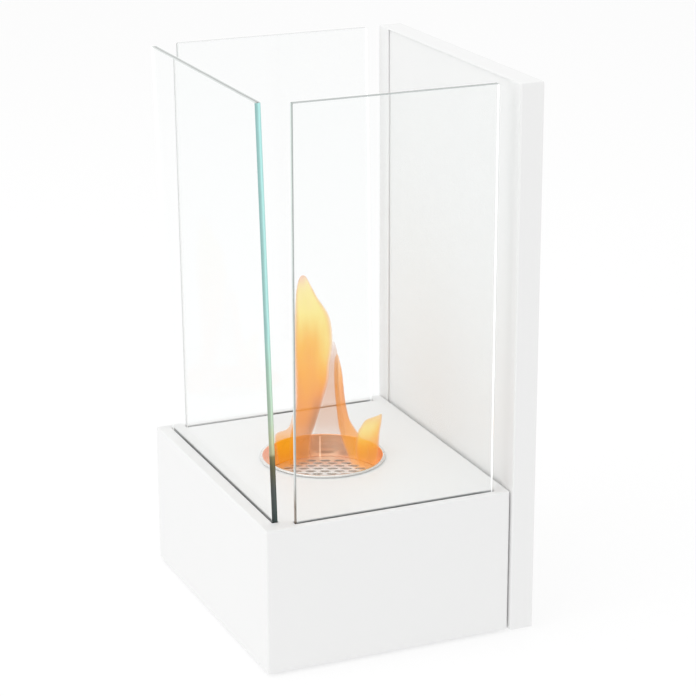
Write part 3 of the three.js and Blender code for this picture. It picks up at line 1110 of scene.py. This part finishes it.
@dataclass
class GlassPanes:
    """Three loose panes. Each is modelled upright at the origin and then stood in its slot."""

    clear: bpy.types.Material
    edges: dict[str, PaneEdges]
    thickness: float = 5 * MM
    corner: float = 1.2 * MM
    arris: float = 0.4 * MM
    lean: float = math.radians(1.64)
    seat_gap: float = 0.3 * MM

    def build(self) -> None:
        """Builds the three panes."""
        low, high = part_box("front_pane")
        model = self.model(high.x - low.x, self.height("front", self.lean), self.edges["front"])
        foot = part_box("front_seat_strip")[1].z + self.seat_gap
        inset = self.thickness / 2 * math.cos(self.lean)
        place = Vector(((low.x + high.x) / 2, high.y - inset, foot))
        self.stand(model, "front", place, Euler((self.lean, 0, 0)), Body.FRONT_GLASS)

        low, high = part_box("left_pane")
        model = self.model(high.y - low.y, self.height("left", self.lean), self.edges["left"])
        place = Vector((high.x - inset, (low.y + high.y) / 2, foot))
        self.stand(model, "left", place, Euler((self.lean, 0, -math.pi / 2)), Body.LEFT_GLASS)

        low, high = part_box("right_pane")
        model = self.model(high.y - low.y, self.height("right", 0.0), self.edges["right"])
        place = Vector(((low.x + high.x) / 2, (low.y + high.y) / 2, foot))
        self.stand(model, "right", place, Euler((0, 0, math.pi / 2)), Body.RIGHT_GLASS)

    def height(self, name: str, lean: float) -> float:
        """A pane's own height, from the box of the pane as it leans.

        Args:
            name: front, left or right.
            lean: how far it leans.

        Returns:
            The height along the pane.
        """
        low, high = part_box(f"{name}_pane")
        return (high.z - low.z - self.thickness * math.sin(lean)) / math.cos(lean)

    def stand(self, model: Piece, name: str, foot: Vector, turned: Euler, body: Body) -> None:
        """Stands a pane in its slot.

        Args:
            model: the pane, modelled at the origin.
            name: front, left or right.
            foot: where the middle of its foot goes.
            turned: how it is turned there.
            body: the body it rides on.
        """
        pane = copy_to(model, f"{name}_glass_pane", foot, turned)
        hand_over(pane, self.clear, body, Slot.CLEAR_GLASS, f"{name}_pane")
        bpy.data.objects.remove(model)

    def model(self, width: float, height: float, edges: PaneEdges) -> Piece:
        """One upright pane, with polished arrises and its edges in their own materials.

        Args:
            width: how wide it is.
            height: how high it is.
            edges: the materials of its edges.

        Returns:
            The pane, with its foot's middle at the origin.
        """
        half = width / 2
        thick = self.thickness / 2
        pane = add_box("pane", (-half, -thick, 0), (half, thick, height))
        bevel(pane, self.corner, 3, lambda at: abs(at.y) < MM / 10)
        bevel(pane, self.arris, 2, lambda at: abs(at.y) > thick - MM / 10)
        for material in (self.clear, edges.upright, edges.top):
            pane.data.materials.append(material)
        for face in pane.data.polygons:
            if abs(face.normal.y) > 0.98:
                face.material_index = 0
            else:
                face.material_index = 1 if abs(face.normal.x) > abs(face.normal.z) else 2
        layer = pane.data.uv_layers.new(name="pane")
        for loop in pane.data.loops:
            at = pane.data.vertices[loop.vertex_index].co
            layer.data[loop.index].uv = (at.y / self.thickness + 0.5, at.z / height)
        smooth(pane)
        return pane


# ---------------------------------------------------------------------------
# Burner
# ---------------------------------------------------------------------------


@dataclass
class Burner:
    """The loose burner: a steel cup with a rolled rim, its wool and the mesh over it."""

    steel: bpy.types.Material
    seam_steel: bpy.types.Material
    mesh_steel: bpy.types.Material
    wool: bpy.types.Material
    inner_radius: float = 52 * MM
    wall: float = 0.8 * MM
    foot_radius: float = 3 * MM
    mesh_cell: tuple[float, float] = (13 * MM, 6.8 * MM)
    mesh_strand: float = 1.7 * MM
    mesh_border: float = 2.2 * MM
    mesh_tilt: float = 0.8 * MM
    mesh_turn: float = math.radians(66.6)
    inner_bend: float = 1.1 * MM
    seam_angle: float = math.radians(162)
    seam_width: float = 1.6 * MM
    seam_height: float = 0.35 * MM
    seam_below_rim: float = 2.4 * MM
    wool_rings: int = 10
    wool_fluff: float = 0.7 * MM

    def build(self) -> None:
        """Builds the cup, the wool and the mesh."""
        low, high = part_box("burner_cup")
        self.centre = Vector(((low.x + high.x) / 2, (low.y + high.y) / 2, 0))
        self.bottom = low.z
        self.rim_top = high.z
        self.rim_radius = (high.x - low.x) / 2
        self.plate_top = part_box("base_casing")[1].z
        self.build_cup()
        self.build_mesh()
        self.build_wool()

    def build_cup(self) -> None:
        """Turns the cup with its rolled rim, and lays the welded seam up the inside of its wall."""
        outer = self.inner_radius + self.wall
        bead = (self.rim_top - self.plate_top) / 2
        profile = [(outer - self.foot_radius, self.bottom)]
        profile += arc((outer - self.foot_radius, self.bottom + self.foot_radius),
                       self.foot_radius, -60, 0, 4)
        profile += [(outer, self.plate_top)]
        profile += arc((self.rim_radius - bead, self.plate_top + bead), bead, -90, 90, 10)
        bend = self.inner_bend
        profile += arc((self.inner_radius + bend, self.rim_top - bend), bend, 90, 180, 6)
        inner_foot = self.foot_radius - self.wall
        profile += arc((self.inner_radius - inner_foot, self.bottom + self.wall + inner_foot),
                       inner_foot, 0, -80, 4)
        cup = turn("steel_cup", profile, 128)
        smooth(cup)
        cup.data.materials.append(self.steel)
        seam = self.seam()
        seam.data.materials.append(self.seam_steel)
        cup = join([cup, seam], "steel_cup")
        cup.location = self.centre
        settle(cup)
        hand_over(cup, self.steel, Body.BURNER, Slot.STAINLESS_STEEL, "burner_cup")

    def seam(self) -> Piece:
        """The low rounded weld that joins the cup's wall, from its foot to just under its rim."""
        reach = self.inner_radius - self.seam_height
        seam = add_box(
            "seam", (reach, -self.seam_width / 2, self.bottom + 2 * self.foot_radius),
            (self.inner_radius + self.wall / 2, self.seam_width / 2, self.rim_top - self.seam_below_rim),
        )
        bevel(seam, 0.3 * MM, 3, lambda at: at.x < reach + MM / 10)
        smooth(seam)
        seam.rotation_euler = (0, 0, self.seam_angle)
        return settle(seam)

    def build_mesh(self) -> None:
        """Cuts the openings of the expanded metal and tips its strands."""
        low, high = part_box("burner_mesh")
        radius = (high.x - low.x) / 2
        disc = add_cylinder("mesh_disc", radius, low.z, high.z, 96)
        cut(disc, self.openings(radius, low.z, high.z))
        with editing(disc, Element.FACES, lambda _: True):
            bpy.ops.mesh.quads_convert_to_tris(quad_method="BEAUTY", ngon_method="BEAUTY")
        cell_width = self.mesh_cell[1]
        for vertex in disc.data.vertices:
            if vertex.co.xy.length < radius - self.mesh_border:
                vertex.co.z -= self.mesh_tilt * math.sin(2 * math.pi * vertex.co.y / cell_width)
        soften(disc, 0.2 * MM, 1, 35)
        disc.rotation_euler = (0, 0, self.mesh_turn)
        disc.location = self.centre
        settle(disc)
        hand_over(disc, self.mesh_steel, Body.BURNER, Slot.STAINLESS_STEEL, "burner_mesh")

    def openings(self, radius: float, low: float, high: float) -> list[Piece]:
        """One cutter for each six-sided opening, every second row shifted by half a cell.

        Args:
            radius: the disc's radius.
            low: the height of its underside.
            high: the height of its top.

        Returns:
            The cutters.
        """
        length, width = self.mesh_cell
        half_length = (length - self.mesh_strand) / 2
        half_width = (width - self.mesh_strand) / math.sqrt(3)
        usable = radius - self.mesh_border
        model = add_cylinder("opening", 1, low - MM, high + MM, 6)
        with editing(model, Element.FACES, lambda _: True):
            bpy.ops.transform.rotate(value=math.pi / 6, orient_axis="Z", center_override=(0, 0, 0))
            stretch = (half_length, half_width * 2 / math.sqrt(3), 1)
            bpy.ops.transform.resize(value=stretch, center_override=(0, 0, 0))
        cutters = []
        rows = math.ceil(usable / width)
        columns = math.ceil(usable / length) + 1
        for row in range(-rows, rows + 1):
            for column in range(-columns, columns + 1):
                x = (column + row % 2 / 2) * length
                y = row * width
                if math.hypot(abs(x) + half_length * 0.7, abs(y) + width / 4) < usable:
                    cutters.append(copy_to(model, f"opening_{row}_{column}", (x, y, 0)))
        bpy.data.objects.remove(model)
        return cutters

    def build_wool(self) -> None:
        """The ceramic wool, with a fluffy top."""
        low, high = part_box("burner_wool")
        radius = (high.x - low.x) / 2
        top = high.z - MM
        wool = add_cylinder("wool_core", radius - 0.3 * MM, low.z, top, 64)
        with editing(wool, Element.FACES, lambda at: at.z > top - MM / 10):
            for _ in range(self.wool_rings):
                bpy.ops.mesh.inset(thickness=radius / (self.wool_rings + 1))
        for vertex in wool.data.vertices:
            if vertex.co.z > top - MM / 10 and vertex.co.xy.length < radius - MM:
                ripple = math.sin(vertex.co.x * 900) * math.cos(vertex.co.y * 1100)
                vertex.co.z += (ripple - 1) * self.wool_fluff
        smooth(wool)
        wool.location = self.centre
        settle(wool)
        hand_over(wool, self.wool, Body.BURNER, Slot.CERAMIC_WOOL, "burner_wool")


@dataclass(frozen=True)
class Tongue:
    """One tongue of the flame. Lengths are in millimetres, heights are above the burner's rim."""

    name: str
    depth_at: float
    depth_share: float
    outline: tuple[tuple[float, float, float], ...]
    burn: tuple[tuple[float, float, float, float], ...]

    def burning(self, height: float) -> tuple[float, float, float]:
        """How it burns at a height.

        Args:
            height: the height above the rim, in millimetres.

        Returns:
            Its warmth, how much warmer its right edge is, and how solid it looks.
        """
        below = max((row for row in self.burn if row[0] <= height), default=self.burn[0])
        above = min((row for row in self.burn if row[0] > height), default=self.burn[-1])
        share = (height - below[0]) / (above[0] - below[0]) if above[0] > below[0] else 0.0
        return tuple(a + (b - a) * share for a, b in zip(below[1:], above[1:]))


MAIN_TONGUE = Tongue("main", 2, 0.55, (
    (-14, -31, -17), (-6, -31.5, -14.5), (2, -31.5, -13), (11, -31.2, -12.6), (19, -30.8, -12.2),
    (26, -29.4, -10.4), (33, -27.6, -7.8), (40, -26.6, -5.8), (47, -26, -3.7), (54, -25.8, -1.8),
    (61, -25.8, 0), (68, -25.9, 2.2), (75, -26, 3.9), (82, -26.1, 4.5), (89, -26.3, 4.8), (97, -26.5, 6),
    (104, -26.8, 7.3), (112, -26.8, 7.8), (121, -26.6, 7.3), (129, -26.2, 6.3), (136, -25.8, 4.4),
    (143, -25.4, 0), (150, -25, -5), (156, -24.6, -8), (162, -23.6, -10.9), (167, -22.4, -13.6),
    (170, -21.2, -15), (171.9, -19.4, -16.8),
), (
    (-14, 0.1, 0.0, 0.0), (-9, 0.1, 0.0, 0.0), (0, 0.16, 0.0, 0.3), (14, 0.22, 0.0, 0.5),
    (32, 0.26, -0.3, 0.7), (56, 0.34, -0.26, 0.74), (72, 0.44, -0.05, 0.74), (96, 0.55, 0.25, 0.74),
    (112, 0.63, 0.24, 0.74), (130, 0.77, 0.08, 0.74), (146, 0.88, 0.0, 0.74), (160, 0.93, 0.0, 0.7),
    (172, 1.0, 0.0, 0.45),
))
SECOND_TONGUE = Tongue("second", -6, 0.6, (
    (-14, 26, 35), (-6, 22.5, 38), (0, 20.5, 40), (5, 19, 40), (10, 17.2, 38.5), (14.5, 15.6, 35),
    (19, 14.4, 31.5), (23.6, 13.2, 28.6), (28, 12.3, 25.8), (33, 11.8, 22.8), (38, 11.4, 21.4),
    (47, 10.4, 19.4), (61, 9, 17.6), (75, 8.6, 16.7), (84, 8.6, 15.3), (89, 8.8, 14.1),
    (93.5, 9.8, 13.1), (96.2, 10.8, 12.3),
), (
    (-14, 0.3, 0.0, 0.0), (-9, 0.34, 0.0, 0.0), (0, 0.4, 0.0, 0.42), (10, 0.42, 0.0, 0.56),
    (25, 0.38, 0.1, 0.62), (45, 0.3, -0.1, 0.66), (60, 0.34, -0.16, 0.64), (76, 0.44, -0.05, 0.6),
    (96, 0.5, 0.0, 0.3),
))
RIGHT_LICK = Tongue("right_lick", 3, 0.5, (
    (-14, 34, 42), (-6, 30, 45.5), (0, 28.4, 47.8), (6, 27.8, 48.6), (12, 27.6, 49), (18, 28, 49.1),
    (24, 29, 49.4), (27, 30, 49.8), (30, 32, 50.3), (33, 33.8, 50.8), (35.5, 35.2, 51.2),
    (37.5, 37.5, 51.4), (39.2, 42.5, 51.5), (41, 47.4, 51.5), (42.7, 50, 51.4),
), (
    (-14, 0.3, 0.0, 0.0), (-9, 0.34, 0.0, 0.0), (0, 0.3, 0.0, 0.44), (10, 0.42, -0.1, 0.6),
    (22, 0.76, -0.22, 0.7), (32, 0.84, -0.22, 0.66), (43, 0.6, 0.0, 0.35),
))
LEFT_LOBE = Tongue("left_lobe", 4, 0.5, (
    (-14, -38, -28), (-6, -41.5, -25.5), (0, -42.6, -25), (6, -43.3, -25), (12, -43.9, -25.2),
    (18, -44.3, -25.5), (21.5, -44.3, -25.8), (24, -43.4, -26), (25.6, -40, -26.2), (27, -34, -26.4),
    (31, -30.6, -26.5), (37, -29, -26.6), (43, -28, -26.8),
), (
    (-14, 0.26, 0.0, 0.0), (-9, 0.26, 0.0, 0.0), (0, 0.3, 0.0, 0.5), (8, 0.42, -0.14, 0.66),
    (16, 0.5, 0.0, 0.6), (23, 0.5, 0.0, 0.4), (30, 0.4, 0.0, 0.3), (43, 0.4, 0.0, 0.1),
))
VEIL = Tongue("veil", -2, 0.4, (
    (14, -12, 20), (24, -11, 19), (33, -9, 17.6), (40, -7, 16.6), (47, -5, 15), (54, -2.8, 14.2),
    (61, -1.2, 13.6), (68, 1.2, 13), (75, 2.8, 12.6), (82, 3.6, 12.6), (88.5, 4, 12.6), (94, 5, 12.4),
    (100, 6, 11.8), (106, 7, 10.4), (110, 7.6, 8.8),
), (
    (14, 0.5, 0.0, 0.0), (22, 0.5, 0.0, 0.16), (33, 0.5, 0.0, 0.27), (46, 0.5, 0.0, 0.3),
    (58, 0.4, 0.0, 0.38), (90, 0.5, 0.0, 0.36), (110, 0.5, 0.0, 0.1),
))


@dataclass
class Flame:
    """The flame over the burner: tongues of glowing vapour that taper to their tips."""

    hot: bpy.types.Material
    thin: bpy.types.Material
    facing: float = VIEWED_FROM
    below_rim: float = 3.6 * MM
    sides: int = 28

    def build(self, centre: Vector, rim: float) -> None:
        """Builds the tongues and joins those of one material.

        Args:
            centre: the burner's axis.
            rim: the height of the burner's rim.
        """
        tongues = (MAIN_TONGUE, SECOND_TONGUE, RIGHT_LICK, LEFT_LOBE)
        self.place([self.loft(tongue) for tongue in tongues], "flame", self.hot, centre, rim)
        self.place([self.loft(VEIL)], "flame_veil", self.thin, centre, rim)

    def place(self, pieces: list[Piece], name: str, material: bpy.types.Material,
              centre: Vector, rim: float) -> None:
        """Joins tongues, turns them to face their side and stands them on the burner.

        Args:
            pieces: the tongues, modelled with their width along X.
            name: the joined piece's name.
            material: its material.
            centre: the burner's axis.
            rim: the height of the burner's rim.
        """
        flame = join(pieces, name)
        flame.rotation_euler = (0, 0, self.facing)
        flame.location = (centre.x, centre.y, rim - self.below_rim)
        settle(flame)
        hand_over(flame, material, Body.BURNER, None)

    def loft(self, tongue: Tongue) -> Piece:
        """Extrudes one tongue level by level from its root to its tip.

        Args:
            tongue: its outline.

        Returns:
            The tongue, with its maps.
        """
        deselect_everything()
        height, left, right = (value * MM for value in tongue.outline[0])
        depth = -tongue.depth_at * MM
        bpy.ops.mesh.primitive_circle_add(
            vertices=self.sides, radius=1, fill_type="NOTHING", location=((left + right) / 2, depth, height)
        )
        piece = bpy.context.object
        piece.name = f"tongue_{tongue.name}"
        piece.scale = ((right - left) / 2, (right - left) / 2 * tongue.depth_share, 1)
        settle(piece)
        with editing(piece, Element.EDGES, lambda _: True):
            for level in tongue.outline[1:]:
                higher, new_left, new_right = (value * MM for value in level)
                shift = ((new_left + new_right - left - right) / 2, 0, higher - height)
                bpy.ops.mesh.extrude_edges_move(TRANSFORM_OT_translate={"value": shift})
                share = (new_right - new_left) / (right - left)
                middle = ((new_left + new_right) / 2, depth, higher)
                bpy.ops.transform.resize(value=(share, share, 1), center_override=middle)
                height, left, right = higher, new_left, new_right
            bpy.ops.mesh.select_all(action="SELECT")
            bpy.ops.mesh.fill_holes(sides=0)
        tidy_normals(piece)
        self.map_outline(piece, tongue)
        modify(piece, "SUBSURF", levels=1, render_levels=1)
        make_active(piece)
        bpy.ops.object.shade_smooth()
        return piece

    def map_outline(self, piece: Piece, tongue: Tongue) -> None:
        """Lays two UV maps: shape, across and up the tongue, and burn, its warmth and solidity.

        Args:
            piece: the tongue's mesh.
            tongue: its outline and how it burns.
        """
        base, tip = tongue.outline[0][0], tongue.outline[-1][0]
        shape = piece.data.uv_layers.new(name="shape")
        burn = piece.data.uv_layers.new(name="burn")
        for loop in piece.data.loops:
            at = piece.data.vertices[loop.vertex_index].co / MM
            _, left, right = min(tongue.outline, key=lambda level: abs(level[0] - at.z))
            across = (at.x - left) / (right - left)
            warmth, lean, solidity = tongue.burning(at.z)
            shape.data[loop.index].uv = (across, (at.z - base) / (tip - base))
            burn.data[loop.index].uv = (warmth + lean * max(0.0, 2 * across - 1), solidity)


# ---------------------------------------------------------------------------
# Studio
# ---------------------------------------------------------------------------


@dataclass
class Studio:
    """The camera at the photograph's viewpoint, a white floor, and soft even light."""

    azimuth: float = VIEWED_FROM
    elevation: float = math.radians(18.25)
    roll: float = math.radians(-0.13)
    place: tuple[float, float, float] = (1.8640, -0.7951, 0.9039)
    lens: float = 124.34
    sensor: float = 36.0
    ambient: float = 0.82
    floor_glow: float = 0.62
    floor_colour: float = 0.4
    aimed_at: tuple[float, float, float] = (0, 0, 0.25)

    def build(self) -> None:
        """Sets up the camera, the world, the floor and the lamps."""
        self.build_camera()
        self.build_world()
        self.build_floor()
        self.add_softbox("key_light", (0.9, -1.6, 2.2), (1.6, 1.6), 4.0)
        self.add_softbox("top_light", (-0.2, -0.3, 2.4), (2.0, 2.0), 8.0)
        self.add_softbox("front_light", (-0.3, -2.4, 0.9), (1.6, 1.6), 4.0)
        scene = bpy.context.scene
        scene.view_settings.view_transform = "Standard"
        scene.cycles.max_bounces = 16
        scene.cycles.transmission_bounces = 16
        scene.cycles.transparent_max_bounces = 32

    def build_camera(self) -> None:
        """Stands the camera where the photograph was taken from."""
        data = bpy.data.cameras.new("camera")
        data.lens = self.lens
        data.sensor_width = self.sensor
        data.clip_start = 0.01
        camera = bpy.data.objects.new("camera", data)
        bpy.context.scene.collection.objects.link(camera)
        heading = Matrix.Rotation(self.azimuth, 4, "Z")
        tilt = Matrix.Rotation(math.pi / 2 - self.elevation, 4, "X")
        spin = Matrix.Rotation(self.roll, 4, "Z")
        camera.matrix_world = Matrix.Translation(self.place) @ heading @ tilt @ spin
        bpy.context.scene.camera = camera

    def build_world(self) -> None:
        """White to look at, in reflections and through glass, and an even light on everything."""
        world = bpy.data.worlds.new("studio_world")
        world.use_nodes = True
        bpy.context.scene.world = world
        tree = Tree(world.node_tree)
        path = tree.add("LightPath")
        seen = tree.math("MAXIMUM", path.outputs["Is Camera Ray"], path.outputs["Is Glossy Ray"])
        seen = tree.math("MAXIMUM", seen, path.outputs["Is Transmission Ray"])
        lit = tree.add("Background", {"Color": (1, 1, 1, 1), "Strength": self.ambient})
        white = tree.add("Background", {"Color": (1, 1, 1, 1), "Strength": 1.0})
        mix = tree.add("MixShader", {0: seen, 1: lit.outputs[0], 2: white.outputs[0]})
        output = world.node_tree.nodes["World Output"]
        world.node_tree.links.new(mix.outputs[0], output.inputs["Surface"])

    def build_floor(self) -> None:
        """A wide white floor that keeps a soft trace of the object's shadow."""
        deselect_everything()
        bpy.ops.mesh.primitive_plane_add(size=30, location=(0, 0, 0))
        floor = bpy.context.object
        floor.name = "studio_floor"
        material, tree, principled, _ = new_material("studio_floor")
        shade = (self.floor_colour,) * 3
        feed(tree, principled, {
            "Base Color": (*shade, 1), "Roughness": 0.9, "Specular IOR Level": 0.1,
            "Emission Color": (1, 1, 1, 1), "Emission Strength": self.floor_glow,
        })
        floor.data.materials.append(material)

    def add_softbox(self, name: str, place: tuple[float, float, float], size: tuple[float, float],
                    power: float) -> None:
        """Hangs a soft rectangular lamp that faces the middle of the object.

        Args:
            name: the lamp's name.
            place: where it hangs.
            size: how wide and how high it is.
            power: its power in watts.
        """
        data = bpy.data.lights.new(name, "AREA")
        data.shape = "RECTANGLE"
        data.size, data.size_y = size
        data.energy = power
        lamp = bpy.data.objects.new(name, data)
        bpy.context.scene.collection.objects.link(lamp)
        lamp.location = place
        aim = Vector(self.aimed_at) - Vector(place)
        lamp.rotation_euler = aim.to_track_quat("-Z", "Y").to_euler()


# ---------------------------------------------------------------------------
# The whole object
# ---------------------------------------------------------------------------


def dress_hidden_nodes(zinc: bpy.types.Material, silicone: bpy.types.Material,
                       nodes: dict[str, Piece]) -> None:
    """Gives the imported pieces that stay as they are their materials.

    Args:
        zinc: for the channels, rails, nuts and joining screws.
        silicone: for the strips that the panes stand on.
        nodes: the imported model's objects by name.
    """
    for name, node in nodes.items():
        kept_zinc = name.endswith("_channel") or name.startswith(("panel_rail", "joining_"))
        if kept_zinc or name.endswith("_seat_strip"):
            node.data.materials.clear()
            node.data.materials.append(zinc if kept_zinc else silicone)


def main() -> None:
    """Builds the dressed fireplace and its studio."""
    logging.basicConfig(level=logging.INFO, format="%(message)s")
    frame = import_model()
    Studio().build()

    paint = CoatedMetal(
        "white_powder_coat", (0.915, 0.916, 0.912), (0.9, 0.902, 0.9), (0.42, 0.52),
        grain_size=0.9 * MM, grain_depth=0.02 * MM, drift_size=0.2,
    ).material()
    zinc = CoatedMetal(
        "zinc_plate", (0.66, 0.67, 0.68), (0.5, 0.51, 0.53), (0.3, 0.5),
        grain_size=2 * MM, grain_depth=0.01 * MM, drift_size=0.012, metallic=0.9,
    ).material()
    rubber = CoatedMetal(
        "black_rubber", (0.035, 0.035, 0.036), (0.02, 0.02, 0.02), (0.7, 0.9),
        grain_size=0.5 * MM, grain_depth=0.03 * MM, drift_size=0.01,
    ).material()
    silicone = CoatedMetal(
        "grey_silicone", (0.09, 0.095, 0.095), (0.06, 0.065, 0.065), (0.45, 0.6),
        grain_size=0.8 * MM, grain_depth=0.01 * MM, drift_size=0.02,
    ).material()
    wool = CoatedMetal(
        "ceramic_wool", (0.88, 0.86, 0.81), (0.66, 0.63, 0.58), (0.9, 1.0),
        grain_size=0.7 * MM, grain_depth=0.3 * MM, drift_size=0.006, sheen=0.2,
    ).material()
    cup_low, cup_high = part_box("burner_cup")
    burner_axis = ((cup_low.x + cup_high.x) / 2, (cup_low.y + cup_high.y) / 2)
    # The cup's steel, with the flame's light painted on its inner rim: an orange reflection that changes
    # across the cup as seen from VIEWED_FROM, and a painted glow.
    steel = BrushedSteel(
        "burner_steel", (0.86, 0.85, 0.83), (0.66, 0.64, 0.61), burner_axis,
        painted_firelight_radii=(51.68 * MM, 51.85 * MM, 52.3 * MM, 52.6 * MM),
        painted_firelight_heights=(cup_high.z + 0.5 * MM, cup_high.z - 0.1 * MM),
        painted_firelight_across=(
            (0.0, (0.95, 0.42, 0.1)), (0.15, (0.95, 0.42, 0.08)), (0.3, (0.86, 0.38, 0.11)),
            (0.42, (0.84, 0.46, 0.27)), (0.55, (0.93, 0.63, 0.44)), (0.68, (0.92, 0.57, 0.38)),
            (0.8, (0.96, 0.46, 0.13)), (1.0, (0.96, 0.42, 0.1)),
        ),
        painted_firelight_turn=VIEWED_FROM,
    ).material()
    # The weld seam: warm steel, with the flame's light painted over it as an orange tint and a painted glow.
    seam_steel = BrushedSteel(
        "seam_steel", (0.9, 0.76, 0.62), (0.84, 0.68, 0.54), burner_axis,
        painted_firelight_radii=(51 * MM, 51.2 * MM, 53 * MM, 53.1 * MM),
        painted_firelight_heights=(cup_high.z, cup_high.z - 0.1 * MM),
        painted_firelight_across=((0.0, (0.94, 0.66, 0.46)), (1.0, (0.94, 0.66, 0.46))), painted_glow_share=0.4,
    ).material()
    mesh_steel = BrushedSteel(
        "mesh_steel", (0.94, 0.92, 0.9), (0.78, 0.76, 0.73), burner_axis, roughness=(0.3, 0.45),
    ).material()
    clear = ClearGlass("clear_pane", (0.988, 0.995, 0.994)).material()
    pane_edges = {name: PaneEdges(upright.material(), top.material())
                  for name, (upright, top) in PANE_EDGE_TINTS_AND_PAINTED_LIGHT.items()}

    BaseBox(paint, zinc, rubber).build()
    BackPanel(paint).build()
    PanScrews(zinc).build()
    GlassPanes(clear, pane_edges).build()
    burner = Burner(steel, seam_steel, mesh_steel, wool)
    burner.build()

    hot = FlameBody(
        "flame_hot",
        ((0.0, (0.4, 0.13, 0.01)), (0.15, (0.72, 0.22, 0.02)), (0.3, (0.9, 0.3, 0.015)),
         (0.5, (0.97, 0.4, 0.015)), (0.65, (0.97, 0.5, 0.05)), (0.76, (0.96, 0.66, 0.14)),
         (0.87, (0.98, 0.84, 0.27)), (0.94, (0.98, 0.8, 0.33)), (1.0, (0.94, 0.52, 0.34))),
        (0.9, 0.36, 0.16), 0.55, 0.4,
    ).material()
    thin = FlameBody(
        "flame_thin",
        ((0.0, (0.66, 0.2, 0.01)), (0.5, (0.66, 0.23, 0.03)), (1.0, (0.66, 0.3, 0.1))),
        (0.66, 0.3, 0.12), 0.5, 0.5,
    ).material()
    Flame(hot, thin).build(burner.centre, burner.rim_top)

    dress_hidden_nodes(zinc, silicone, frame["nodes"])


if __name__ == "__main__":
    main()
